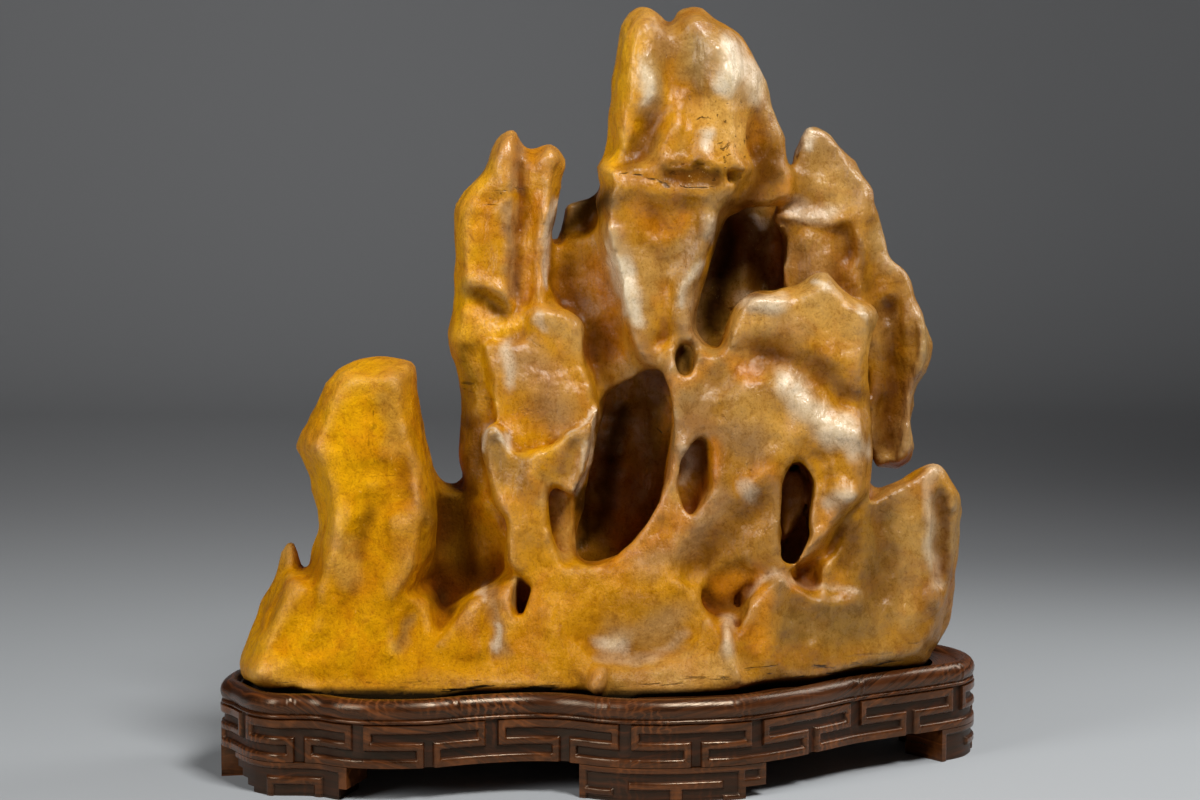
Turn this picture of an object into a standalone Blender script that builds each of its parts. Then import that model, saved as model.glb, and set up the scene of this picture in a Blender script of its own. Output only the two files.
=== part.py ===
"""Scholar's rock on its carved hardwood stand.

The rock is one stone. It is drawn as a set of overlapping lobes, each an outline in the front view
with a depth, a thickness and its own ridges and hollows, and the lobes are melted together in a
field that gives the distance to the stone's surface. The stand is a slab with a bamboo-like rim, a
frieze carved with a running key fret, and five separate feet.

Front is -Y, +X is to the right, +Z is up, and the origin is under the middle of the stand's base.
"""
import math

import bmesh
import bpy
import numpy as np
import openvdb
from mathutils import Vector

MM = 0.001
ROCK_NAME = "rock"
STAND_NAME = "stand_top"

# Stand levels above the table, in millimetres
FRIEZE_BOTTOM = 16.7
FRIEZE_TOP = 37.0
STAND_TOP = 46.8
SOCKET_FLOOR = 42.7
ROCK_SEAT = 43.0

# Stand plan, in millimetres: the outer face of the frieze from the left end round the front
STAND_PLAN = [
    (-190, -33), (-183, -46), (-176, -59), (-169, -68), (-159, -74), (-148, -74.5), (-138, -76),
    (-129, -82), (-116, -87), (-100, -88), (-83, -86), (-69, -80), (-54, -75), (-40, -72),
    (-26, -72), (-14, -76), (-3, -82), (10, -86), (28, -87), (48, -84), (62, -81), (76, -74),
    (94, -61), (110, -46), (124, -33), (140, -22), (156, -12), (172, -1), (184, 10), (190, 26),
    (187, 44), (177, 60), (162, 72), (145, 76), (130, 74), (115, 78), (98, 85), (78, 88),
    (58, 86), (42, 79), (26, 74), (8, 73), (-10, 78), (-28, 85), (-50, 88), (-72, 86),
    (-90, 79), (-106, 68), (-120, 56), (-134, 47), (-150, 40), (-166, 30), (-178, 14),
    (-187, -8),
]
FRET_PERIODS = 14
FRET_START_X = -51.0
FRET_DEPTH = 2.0
# One repeat of the key fret: widths of its columns as shares of the repeat, and which of its five
# rows are raised in each column, from the top row down
FRET_COLUMNS = [
    (4.0, "###.#"), (11.75, "#.#.#"), (11.75, "#.#.#"), (4.0, "#.###"), (5.25, "#...."),
    (4.0, "#.###"), (10.1, "#.#.#"), (10.15, "#.#.#"), (4.0, "###.#"), (7.0, "....#"),
]


# Feet: distance along the plan from its left end to the foot's start, and the widths of its columns
# with the rows that are there, from the top down: # raised, . plain, space cut away
FOOT_DEPTH = 26.0
FOOT_RELIEF = 1.5
FOOT_CHORD = 22.0
FOOT_LEVELS = [16.4, 13.4, 9.6, 5.8, 2.6, 0.0]
FEET = {
    "foot_left": (20.0, [
        (6, "#.   "), (6, "#..  "), (6, "#... "), (10, "#...."), (4, "#.###"), (20, "#.#.."),
        (4, "#.###"), (10, "#...."), (5, "###  "),
    ]),
    "foot_front": (206.0, [
        (3.5, "#####"), (14, "#..#."), (8, "#...."), (20, "#.#.."), (6, "#.###"), (20, "#.#.."),
        (8, "#...#"), (3.5, "#####"), (8, "#.#  "), (3.5, "###  "),
    ]),
    "foot_right": (418.0, [
        (3.5, "#####"), (16, "#...."), (20, "#.#.."), (6, "#.###"), (20, "#.#.."), (16, "#...."),
        (3.5, "#####"),
    ]),
    "foot_back_right": (640.0, [
        (3.5, "#####"), (16, "#...."), (20, "#.#.."), (6, "#.###"), (20, "#.#.."), (16, "#...."),
        (3.5, "#####"),
    ]),
    "foot_back_left": (846.0, [
        (3.5, "#####"), (16, "#...."), (20, "#.#.."), (6, "#.###"), (20, "#.#.."), (16, "#...."),
        (3.5, "#####"),
    ]),
}

# The rim's section: how far each point lies inside the outline, and its level
RIM_PROFILE = [(8.5, 46.8), (6.5, 49.0), (2.6, 48.7), (0.0, 44.0), (0.6, 39.6)]
# The stone's foot stays this far inside the stand's outline
SEAT_MARGIN = 11.5
SEAT_ROWS = 120
SOCKET_CLEARANCE = 1.5
SOCKET_SEARCH_STEPS = 24
SPINE_REACH = 120.0
SPINE_Y = 0.0
WELD = 1e-7
SEAT_SNAP = 0.7
SHARP_ANGLE = math.radians(35)

STONE_COLOR = (0.48, 0.29, 0.07)
WOOD_COLOR = (0.09, 0.035, 0.015)

# The front view: drawing millimetres u across and v up, on the plane through the rock's middle, as
# seen from an eye point in front of the rock and a little above it
EYE_TILT = math.radians(6.0)
EYE_DISTANCE = 1450.0
EYE_TARGET = (-2.5, 0.0, 184.0)
EYE_TARGET_V = 200.0
DRAWING_ORIGIN = (-198.0, 24.0)
DRAWING_STEP = 1.5
DRAWING_SIZE = (264, 256)

# The stone stands inside this outline, seen from above, where it meets the stand
ROCK_PLAN = [
    (-176, -10), (-178, -30), (-172, -47), (-156, -55), (-135, -64), (-110, -71), (-85, -71),
    (-66, -60), (-45, -58), (-28, -60), (-10, -57), (-3, -70), (7, -74), (16, -66), (40, -63),
    (66, -57), (82, -44), (106, -36), (124, -24), (148, -8), (163, 10), (166, 28), (156, 44),
    (132, 52), (100, 56), (60, 60), (20, 62), (-20, 58), (-60, 60), (-100, 62), (-134, 50),
    (-156, 30), (-170, 12),
]

FIELD_LOW = (-194.0, -84.0, 34.0)
FIELD_SIZE = (388.0, 170.0, 352.0)
FIELD_STEP = 3.0
ROCK_TRIANGLES = 4400
FAR = 60.0
FRONT_LIMIT = -60.0
BASE_V = 50.0
# Keeps a lobe's field smooth at its very middle
CORE = 0.01
# A lobe's rim is an ellipse at 2 and a straight wedge at 1
RIM_POWER = 1.5
# How rounded a fold's crest is, as a share of its radius
FOLD_ROUNDING = 0.2
FOLD_DROP = math.hypot(1, FOLD_ROUNDING) - FOLD_ROUNDING
# How much narrower a lip's steep side is
LIP_STEEPNESS = 0.25
CUT_ROUNDING = 3.0
ROCK_EDGE = 48.0
FOOT_FLARE = 1.2
FOOT_ROUNDING = 3.0
UNDERCUT_WIDTH = 9.0
UNDERCUTS = [(84, -46, 44, 4), (130, -24, 34, 5), (-174, -14, 12, 7), (-40, -60, 10, 2),
             (-150, -58, 14, 2), (5, -70, 12, -4)]
SCOOP_SIZE = 44.0
LEAST_BULGE = 2.0
SPINE_SHARE = 0.62
SCOOPS_FROM_Y = 4.0
SCOOPS_FADE = 22.0
WEAR_FROM_Z = 56.0
WEAR_RISE = 14.0
LUMP_SIZES = (26.0, 11.0)
SCOOP_DEPTH = 5.0
SCOOP_REACH = 0.45
UNEVENNESS = 1.0
WEATHER_BAND = 12.0


def stroke(shape, height, radius, points):
    """One ridge (height above zero) or hollow along a line on a lobe's front."""
    return {"shape": shape, "height": height, "radius": radius, "points": points}


def sharp(height, radius, points):
    """A stroke with a crisp crest or a crisp bottom."""
    return stroke("sharp", height, radius, points)


def soft(height, radius, points):
    """A stroke that melts into its surroundings."""
    return stroke("soft", height, radius, points)


def fold(height, radius, points):
    """A stroke with nearly flat flanks that meet in a crease."""
    return stroke("fold", height, radius, points)


def lip(height, radius, points):
    """A crease that is steep on the left as its line is followed, and gentle on the right."""
    return stroke("lip", height, radius, points)


def lobe(name, depth, front, back, edge, blend, outline, relief, lean=0.0):
    """One lobe of the stone: front and back hold its thickness at the foot and at the top."""
    return {"name": name, "depth": depth, "front": front, "back": back, "edge": edge,
            "blend": blend, "outline": outline, "relief": relief, "lean": lean}


def hollow(name, back, edge, outline, lean=0.0):
    """A hole or pocket cut from the front to the depth back, shifted by lean as it goes in."""
    return {"name": name, "back": back, "edge": edge, "outline": outline, "lean": lean}


MAIN_LOBES = [
    lobe("left_apron", depth=-8, front=(54, 34), back=(46, 30), edge=11, blend=7, lean=0, outline=[
        (-182.5, 30), (-182, 54), (-181.8, 65.5), (-178.5, 75), (-171.5, 91), (-165.5, 105),
        (-159.5, 114), (-150, 117), (-120, 114), (-85, 107.5), (-75, 87.5), (-65, 70), (-62.5, 30)
    ], relief=[
        soft(-4, 9, [(-106, 69), (-100, 80), (-93, 92)]),
        soft(1.5, 9, [(-147, 112), (-157, 95.5), (-170.5, 80)]),
        soft(1.5, 8, [(-130, 100), (-139, 89), (-155, 72.5), (-169, 63)]),
        soft(1.2, 8, [(-116, 89), (-127.5, 75), (-150, 65)]),
        soft(-1.5, 7, [(-139, 101), (-150, 84), (-164, 72)]),
        soft(-1.5, 8, [(-124, 97), (-132.5, 84), (-145, 72.5)]),
        soft(-1.5, 8, [(-150, 64), (-110, 60)]),
        sharp(-2.5, 5, [(-141, 64), (-136, 53)]),
    ]),
    lobe("left_peak", depth=-12, front=(44, 26), back=(36, 22), edge=11, blend=5, lean=0, outline=[
        (-150, 30), (-151, 100), (-145.5, 120), (-142.2, 135), (-143, 148), (-146, 161),
        (-151, 171.5), (-151.8, 178.5), (-146.5, 191), (-136.5, 211.5), (-127.5, 219.2),
        (-111.5, 222), (-100.5, 221), (-94, 219), (-91.5, 213.5), (-90.5, 202.5), (-87, 185),
        (-83.5, 169.5), (-81, 150), (-80, 140), (-83, 120), (-88, 105), (-94, 90), (-90, 30)
    ], relief=[
        soft(-4, 13, [(-114, 146), (-119, 135), (-124, 122)]),
        soft(2.5, 12, [(-127.5, 140), (-130, 120)]),
        soft(3, 13, [(-99, 140), (-101, 120), (-106, 105)]),
        soft(-3, 14, [(-97, 172), (-99, 160), (-102, 150)]),
        lip(3, 12, [
            (-106, 72.5), (-102, 85), (-94, 100), (-88, 117), (-85, 130), (-86, 142.5), (-91, 150.5)
        ]),
        soft(-1, 6, [(-124, 163), (-98, 163.5)]),
        soft(-1.5, 8, [(-125, 98), (-130, 77.5)]),
        soft(1.5, 8, [(-114, 100), (-117, 77.5)]),
        soft(-1.5, 12, [(-127.5, 200), (-131, 180)]),
        soft(-1.5, 10, [(-104, 200), (-105, 180)]),
        sharp(-0.8, 3, [(-112.5, 194), (-114.5, 180), (-113.5, 166.5)]),
    ]),
    lobe("left_spike", depth=-6, front=(16, 9), back=(12, 7), edge=6, blend=4, lean=0, outline=[
        (-169, 94), (-166, 106), (-162, 118.5), (-158.5, 126.5), (-156, 129.8), (-153, 129),
        (-150, 123.5), (-147.5, 114), (-145.5, 104), (-148, 96.5), (-157.5, 92)
    ], relief=[
        fold(2, 7, [(-155.5, 127.5), (-155, 116), (-156, 104)]),
    ]),
    lobe("saddle", depth=8, front=(24, 16), back=(30, 20), edge=7, blend=6, lean=0, outline=[
        (-100, 180), (-89, 176), (-83, 165.5), (-79, 160.5), (-75, 158.8), (-69, 159.5),
        (-50, 165), (-35, 100), (-45, 70), (-85, 70), (-97.5, 100)
    ], relief=[
        soft(-4, 16, [(-74, 140), (-72, 105)]),
        soft(2, 10, [(-58, 150), (-55, 120)]),
    ]),
    lobe("tall_slab", depth=0, front=(26, 16), back=(30, 18), edge=7, blend=6, lean=0, outline=[
        (-42.5, 80), (-47, 105), (-55, 130), (-64, 147.5), (-69.5, 159), (-71, 175), (-69, 197),
        (-72, 214.5), (-77, 230), (-74, 245), (-72.5, 255), (-74, 275), (-73, 295), (-66, 307.5),
        (-59.5, 316), (-55, 325), (-50, 332), (-43.5, 335), (-40.5, 331), (-35.5, 326.5),
        (-29.5, 328.5), (-24.5, 330.5), (-19, 327.5), (-16, 320.5), (-18.5, 312), (-19.5, 302.5),
        (-21.5, 290.5), (-23.5, 280), (-24.2, 264.5), (-21.5, 251), (-16, 244), (-10, 237.5),
        (-6, 220), (0, 204), (0, 180), (-7.5, 160), (-15, 120), (-20, 80)
    ], relief=[
        lip(-6.5, 14, [(-43, 251), (-41.5, 275), (-40, 297.5), (-40.5, 317.5), (-40, 329)]),
        lip(3.5, 9, [(-19, 307), (-24, 294), (-26, 275), (-27.5, 254)]),
        soft(2, 9, [(-46, 332), (-47.5, 316), (-47.5, 297.5), (-48.5, 275), (-49, 255)]),
        sharp(-2, 3.5, [(-55, 299), (-44, 303.5)]),
        soft(-2, 8, [(-57, 297.5), (-61, 289)]),
        soft(2, 14, [(-63, 290), (-66, 265)]),
        soft(2.5, 7, [(-46, 250), (-53, 256), (-61, 258), (-68, 253)]),
        soft(-4, 10, [(-64, 251), (-56, 247.5), (-50, 243)]),
        soft(2.5, 10, [(-61, 233), (-47.5, 234)]),
        soft(-2.5, 9, [(-69, 222.5), (-66, 200)]),
        soft(-5, 10, [(-64, 185), (-63, 155)]),
        sharp(-2, 4, [(-67, 208), (-57, 206.5)]),
    ]),
    lobe("centre_mound", depth=0, front=(64, 42), back=(50, 34), edge=10, blend=7, lean=0, outline=[
        (-97.5, 30), (-97.5, 70), (-88, 85), (-79, 95), (-69, 105), (-58.5, 110.5), (-47.5, 117),
        (-35, 122), (-20, 124), (0, 124), (25, 124), (50, 112.5), (70, 80), (70, 30)
    ], relief=[
        soft(-4, 8, [(-51, 72), (-53.5, 82), (-55, 95), (-55.5, 106)]),
        soft(3, 14, [(-26, 94), (-22, 70)]),
        soft(-2, 10, [(-40, 80), (-40, 65)]),
        lip(-6, 22, [(47, 85), (36.5, 75), (21.5, 70), (6.5, 69.5), (-3, 74)]),
        soft(-2, 8, [(-77.5, 69), (-50, 64)]),
        soft(2, 12, [(-80, 80), (-69, 91), (-63, 100)]),
        soft(-2, 7, [(-20, 66), (-10, 55)]),
    ]),
    lobe("trunk", depth=2, front=(28, 32), back=(38, 34), edge=6, blend=8, lean=0, outline=[
        (-1, 282), (0, 297.5), (3, 305), (3, 320), (70.5, 320), (69, 305), (62.5, 294), (61, 285),
        (57.5, 272), (52.5, 255), (50, 239), (52, 230), (49, 224), (42, 222), (34, 214), (25, 212),
        (18, 216), (12.5, 227.5), (9, 242), (5.5, 260)
    ], relief=[
        fold(3.5, 9, [(20, 224), (15, 237.5), (10, 255), (6.5, 270), (4.5, 282)]),
        soft(-3, 14, [(25, 289), (34, 280), (34, 269)]),
        soft(3, 8, [(54.5, 289), (54, 282)]),
        fold(3.5, 7, [(51, 274), (44, 264), (40, 255), (40, 242.5), (45, 232), (51, 229)]),
        soft(-3, 8, [(31, 257.5), (31, 232.5)]),
        soft(2, 9, [(20, 269), (23, 250), (25, 235)]),
        soft(1.2, 6, [(32, 305), (45, 304), (55, 305)]),
    ]),
    lobe("head", depth=2, front=(31, 22), back=(34, 24), edge=10, blend=12, lean=0, outline=[
        (2, 297), (2.5, 308.5), (3.5, 323), (3.5, 338.5), (4.8, 350.5), (4.8, 359), (6, 372),
        (9, 384), (12.5, 391.5), (17.5, 396), (24, 397.5), (30.5, 394.8), (34.5, 390.5),
        (38, 394.5), (45, 397.5), (51.5, 395.5), (58.5, 389), (65, 384), (71, 376), (74, 362.5),
        (75.5, 350), (75.5, 338.5), (75.5, 323), (74, 312), (69, 303), (61, 297), (20, 295)
    ], relief=[
        soft(-6, 17, [(35.5, 395), (39, 377.5), (42, 354)]),
        fold(1, 4, [(35, 389), (39.5, 380), (40, 364)]),
        soft(2.5, 12, [(22, 385), (23, 365), (25, 348)]),
        soft(-7, 12, [(27.5, 342), (23.5, 333), (20, 325), (15, 317)]),
        soft(-3, 9, [(22.5, 319), (14, 315)]),
        soft(2.5, 9, [(38, 347), (35.5, 334), (34, 321)]),
        soft(-1.5, 8, [(70, 350), (61, 349.5), (52, 349.5)]),
        fold(1.8, 8, [(54, 374), (53.5, 361), (56, 353)]),
        soft(2.5, 10, [(62, 379), (66, 367), (69, 358)]),
        soft(2.5, 9, [(53, 335), (54, 325)]),
        soft(-1.5, 8, [(45, 342), (65, 338)]),
        sharp(-2.5, 4, [(11, 313), (20, 312), (30, 310)]),
        lip(-6.5, 9.5, [(30.5, 315), (36, 316.5), (45, 317), (53, 316.5), (58.5, 314.5)]),
    ]),
    lobe("head_flank", depth=12, front=(10, 20), back=(20, 24), edge=9, blend=12, lean=0, outline=[
        (50, 388), (64.5, 384), (72.5, 377), (79, 371.5), (85, 360), (89.5, 345), (94, 335),
        (95.5, 325), (100, 312), (98, 297.5), (82, 293.5), (72, 294), (65, 297.5), (60, 310),
        (59, 340), (56, 370)
    ], relief=[
        soft(-3, 9, [(76, 340), (76, 315)]),
    ]),
    lobe("front_plate", depth=-8, front=(36, 24), back=(30, 26), edge=7, blend=12, lean=0, outline=[
        (50, 229), (54.5, 227.5), (59, 228.5), (62, 238.5), (66, 247.5), (72, 254.5), (79, 257),
        (91, 257), (99, 258.5), (104, 262), (108, 264.2), (113.5, 264.2), (118.5, 260.5),
        (127.5, 252.5), (137, 249), (140.5, 241.5), (137.5, 229.5), (135.5, 210.5), (136.5, 189.5),
        (137, 172.5), (135.5, 155), (131, 146), (123, 138), (114, 127), (103, 116), (92, 110),
        (83, 104), (74, 94), (61, 75), (45, 50), (0, 50), (-27.5, 80), (-27.5, 100), (-17, 120),
        (0, 135), (15, 147.5), (24, 165), (25, 185), (25, 202.5), (27.5, 215), (34, 224), (42, 228)
    ], relief=[
        soft(-4, 14, [(56, 211), (71, 218.5), (82.5, 223)]),
        fold(-6, 14, [(79, 223), (92.5, 218.5), (106, 210), (119, 201), (134, 195)]),
        soft(3.5, 14, [(92.5, 207.5), (103, 198), (114, 189), (121, 183)]),
        soft(2.5, 9, [(122.5, 187.5), (131, 184)]),
        soft(2, 7, [(75, 250), (87.5, 248)]),
        soft(-1.5, 6, [(98.5, 250), (100, 244)]),
        soft(-1.5, 6, [(121.5, 248), (122, 240)]),
        soft(1.5, 6, [(41, 178), (41, 164), (43, 148)]),
        soft(2.5, 9, [(99, 182), (95, 174)]),
        soft(2.5, 10, [(85, 169), (78.5, 158), (71, 150)]),
        soft(-4, 14, [(78, 147), (64, 134), (51, 122)]),
        soft(3.5, 9, [(117.5, 155), (128, 151)]),
        soft(-4, 8, [(109, 169), (112, 155), (111, 139)]),
        soft(-2, 9, [(126, 230), (125, 214)]),
        soft(-2, 12, [(62.5, 190), (64, 172.5)]),
        soft(2, 14, [(72.5, 202.5), (74, 180)]),
        soft(-2, 16, [(20, 100), (45, 110)]),
        soft(2, 14, [(30, 120), (50, 132.5)]),
    ]),
    lobe("right_valley", depth=11, front=(32, 26), back=(26, 20), edge=8, blend=8, lean=0, outline=[
        (78, 97), (90, 110), (103, 122), (113, 139), (120, 150), (135, 157), (142, 140),
        (138, 108), (125, 94), (95, 87), (78, 89)
    ], relief=[
        soft(3, 9, [(95, 105), (103, 115), (112, 127.5)]),
    ]),
    lobe("right_peak", depth=26, front=(20, 14), back=(24, 16), edge=6, blend=5, lean=0, outline=[
        (87, 250), (86.5, 280), (81.5, 284.5), (81, 291), (84, 298.5), (88.5, 311), (94.5, 324.5),
        (96.5, 333), (99.5, 339), (104, 341.2), (111.5, 340.5), (118, 336.5), (124, 329),
        (130, 318.5), (136, 312), (139.5, 306), (140, 300), (142.5, 294), (145.5, 281), (148, 274),
        (156.5, 265), (160, 256), (163, 245), (166.5, 233.5), (168, 225.5), (165.5, 215),
        (160.5, 206), (159.5, 195), (159.5, 185), (160.5, 176.5), (157, 168.5), (149.5, 163.5),
        (143, 163), (137, 163), (130, 180), (125, 225), (100, 235)
    ], relief=[
        soft(-3, 16, [(117, 320), (116, 304)]),
        lip(2.2, 8, [
            (127, 291), (122, 289), (114.5, 287), (107.5, 289.5), (100, 289.5), (93, 291), (84, 292)
        ]),
        fold(2.5, 7, [(136.5, 300), (132, 292.5), (130.5, 279), (130, 252)]),
        soft(-2.5, 9, [(121, 284), (124, 274)]),
        soft(1.5, 12, [(106, 276), (109, 257.5)]),
        soft(-3, 8, [(138, 285), (137, 255)]),
        lip(4, 9, [(149, 166.5), (152, 180), (154.5, 195), (157.5, 210.5), (161.5, 231.5), (159.5, 248.5)]),
        soft(-4, 9, [(144, 245), (147, 220), (145, 195), (143, 175)]),
        sharp(-2, 5, [(142, 169), (147, 165)]),
    ]),
    lobe("right_shoulder", depth=16, front=(34, 26), back=(32, 22), edge=7, blend=5, lean=0.35, outline=[
        (106, 114), (114.5, 129.5), (118.5, 139), (123.5, 148), (134.5, 155), (147, 161.2),
        (157, 167), (165, 171.2), (172.5, 169.5), (179.5, 159.5), (183, 151.5), (182.5, 136),
        (179.5, 115), (177.5, 107), (174, 88), (168, 76.5), (165, 70), (160, 30), (130, 30),
        (110, 80)
    ], relief=[
        lip(3, 10, [(106, 109), (115, 127.5), (118.5, 137.5), (124, 147)]),
        fold(4, 9, [(167, 169), (164.5, 157.5), (164, 145), (164.5, 130), (167, 113), (169, 100)]),
        soft(-2.5, 10, [(140, 140), (141, 105)]),
        soft(2, 9, [(152.5, 153), (154, 115)]),
        soft(1.5, 7, [(134, 150), (147, 157), (162, 166)]),
    ]),
    lobe("toe", depth=-44, front=(30, 28), back=(30, 30), edge=6, blend=3, lean=0, outline=[
        (-10.5, 49), (-9.5, 58), (-6.5, 65), (-1.5, 69), (3.5, 68.5), (6.5, 64), (6, 56),
        (3.5, 50), (2, 44), (-7.5, 43)
    ], relief=[
    ]),
    lobe("valley", depth=14, front=(28, 18), back=(20, 18), edge=7, blend=8, lean=-0.28, outline=[
        (-31, 286), (-22, 282.5), (-17, 284.5), (-9, 287.5), (3, 290.5), (12.5, 265), (20, 235),
        (45, 224), (36, 214), (25, 200), (12.5, 185), (0, 180), (-7.5, 197.5), (-15, 227.5),
        (-27.5, 250)
    ], relief=[
        soft(-2, 12, [(-12.5, 270), (-6, 240), (1, 210)]),
    ]),
    lobe("dark_lobe", depth=24, front=(15, 15), back=(18, 18), edge=5, blend=5, lean=0, outline=[
        (-22.5, 279), (-22, 289), (-20, 298.5), (-13, 302.5), (-4, 305.5), (3, 311), (11, 305),
        (13, 280), (-5, 269)
    ], relief=[
    ]),
]

INNER_LOBES = [
    lobe("plate", depth=-18, front=(15, 8), back=(24, 20), edge=4, blend=4, lean=0, outline=[
        (-60, 228.5), (-58, 231), (-51, 231.5), (-44.5, 230.5), (-39.5, 232.5), (-37.5, 243),
        (-31.5, 247.8), (-20, 246.2), (-12.5, 243), (-8, 238), (-7, 228.5), (-5.5, 219.5),
        (-2, 209.5), (-1, 200), (-3, 190), (-5, 177), (-13, 167), (-24, 162), (-35, 162),
        (-45, 167), (-51.5, 178), (-54, 191), (-55.5, 201.5), (-58.5, 215)
    ], relief=[
        soft(2, 10, [(-35, 244), (-21, 241)]),
        soft(1.5, 9, [(-47.5, 225), (-45, 207.5)]),
        soft(2, 13, [(-36, 207), (-19, 199)]),
        soft(-1.5, 8, [(-37.5, 227.5), (-26, 219), (-11, 221)]),
        sharp(-1.5, 3, [(-38, 235), (-34, 227.5), (-29, 224.5)]),
        soft(-1.5, 10, [(-44, 190), (-30, 192.5)]),
    ]),
    lobe("bracket", depth=-30, front=(15, 11), back=(30, 26), edge=3, blend=3, lean=0, outline=[
        (-59.5, 173), (-58.8, 182), (-56, 187), (-52, 188.5), (-47.5, 183.5), (-43, 176),
        (-35, 175.5), (-25, 178.5), (-17, 184.5), (-7.5, 190), (-2.5, 199), (0, 195), (-2, 185),
        (-5, 173), (-6.5, 165), (-10, 156.5), (-11.5, 150.5), (-17, 152), (-22, 155.5),
        (-24.5, 152.5), (-25, 146), (-23, 133), (-17.5, 120.5), (-10.5, 108.5), (-2, 101),
        (-20, 97), (-35, 104), (-43, 113), (-47, 119), (-47, 127.5), (-47.5, 140.5), (-52, 147),
        (-56.5, 160)
    ], relief=[
        soft(-2.5, 9, [(-51.5, 177), (-50, 164)]),
        soft(-2.5, 8, [(-12, 176), (-15, 164)]),
        soft(2.5, 9, [(-33.5, 172), (-35, 155), (-34, 135)]),
        fold(1.5, 3.5, [(-57.5, 181.5), (-52.5, 186.5), (-47.5, 182), (-44, 177)]),
        fold(1.5, 4, [(-17, 184), (-7.5, 189), (-3, 195)]),
        fold(1.5, 4, [(-3, 195), (-6, 180), (-8, 165), (-12, 153)]),
        lip(2.5, 5, [(-25.5, 147), (-23.5, 132.5), (-18, 120.5), (-11, 108.5), (-2.5, 100.5)]),
    ]),
    lobe("ledge", depth=-8, front=(16, 14), back=(16, 16), edge=5, blend=4, lean=0, outline=[
        (-32.5, 155), (-25, 155), (-14, 154), (-11.5, 149), (-11.5, 135), (-11, 122), (-5, 110),
        (-20, 105), (-30, 120), (-32, 140)
    ], relief=[
    ]),
    lobe("left_wall", depth=12, front=(14, 14), back=(26, 22), edge=5, blend=4, lean=0, outline=[
        (-22, 198), (-2, 200), (2, 202), (3, 196), (0.5, 184), (-1.5, 171), (-4.5, 160),
        (-7.5, 142.5), (-11, 126), (-20, 117), (-27.5, 150)
    ], relief=[
    ]),
    lobe("rear_wall", depth=46, front=(10, 8), back=(16, 12), edge=14, blend=6, lean=0, outline=[
        (-24, 180), (-20, 210), (-16, 235), (-10, 260), (0, 292.5), (25, 305), (60, 314),
        (85, 316), (93, 316), (98.5, 305), (107.5, 290), (130, 270), (140, 235), (140, 190),
        (134, 140), (120, 80), (50, 70), (0, 80), (-27.5, 90), (-27.5, 140)
    ], relief=[
        fold(4, 12, [(20, 190), (27.5, 165), (15, 135)]),
        fold(3, 12, [(72.5, 282.5), (71, 250)]),
    ]),
    lobe("inner_tongue", depth=0, front=(14, 12), back=(16, 14), edge=4, blend=3, lean=0, outline=[
        (88, 160), (92, 165), (98, 167), (103, 163), (105, 155), (103.5, 146), (99, 137),
        (94, 129), (88, 130)
    ], relief=[
    ]),
    lobe("front_lump", depth=-6, front=(38, 32), back=(34, 30), edge=7, blend=8, lean=0.5, outline=[
        (50, 30), (54, 55), (61, 75), (65.5, 89), (69, 96), (74, 105), (81, 111.5), (86, 114.5),
        (92, 117), (97.5, 113.5), (104, 108.5), (111.5, 105), (125.5, 105), (134, 101), (141, 92),
        (146, 80), (149, 68), (149, 30)
    ], relief=[
        soft(2, 6, [(130, 103), (111.5, 103), (103, 106), (96, 111)]),
        soft(-2.5, 13, [(96, 96), (120, 89)]),
        soft(2.5, 9, [(89, 109), (88, 90), (85, 70)]),
        soft(1.5, 9, [(112, 100), (110, 75)]),
        soft(-1.5, 7, [(100, 95), (99, 72.5)]),
        soft(-1.5, 8, [(128, 97), (126, 72.5)]),
        soft(-2, 7, [(72, 85), (74, 66)]),
    ]),
    lobe("lower_fold", depth=-20, front=(42, 37), back=(30, 30), edge=6, blend=4, lean=0, outline=[
        (-5, 30), (-4, 63), (6, 65), (21.5, 65), (38, 70), (50, 77), (57, 82), (59.5, 93),
        (64.5, 94.5), (69, 86), (72, 72.5), (74, 30)
    ], relief=[
        lip(4.5, 8, [(60, 93.5), (62.5, 84), (65.5, 74), (70, 62)]),
        soft(-3, 8, [(25, 62), (45, 66)]),
    ]),
]

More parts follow.
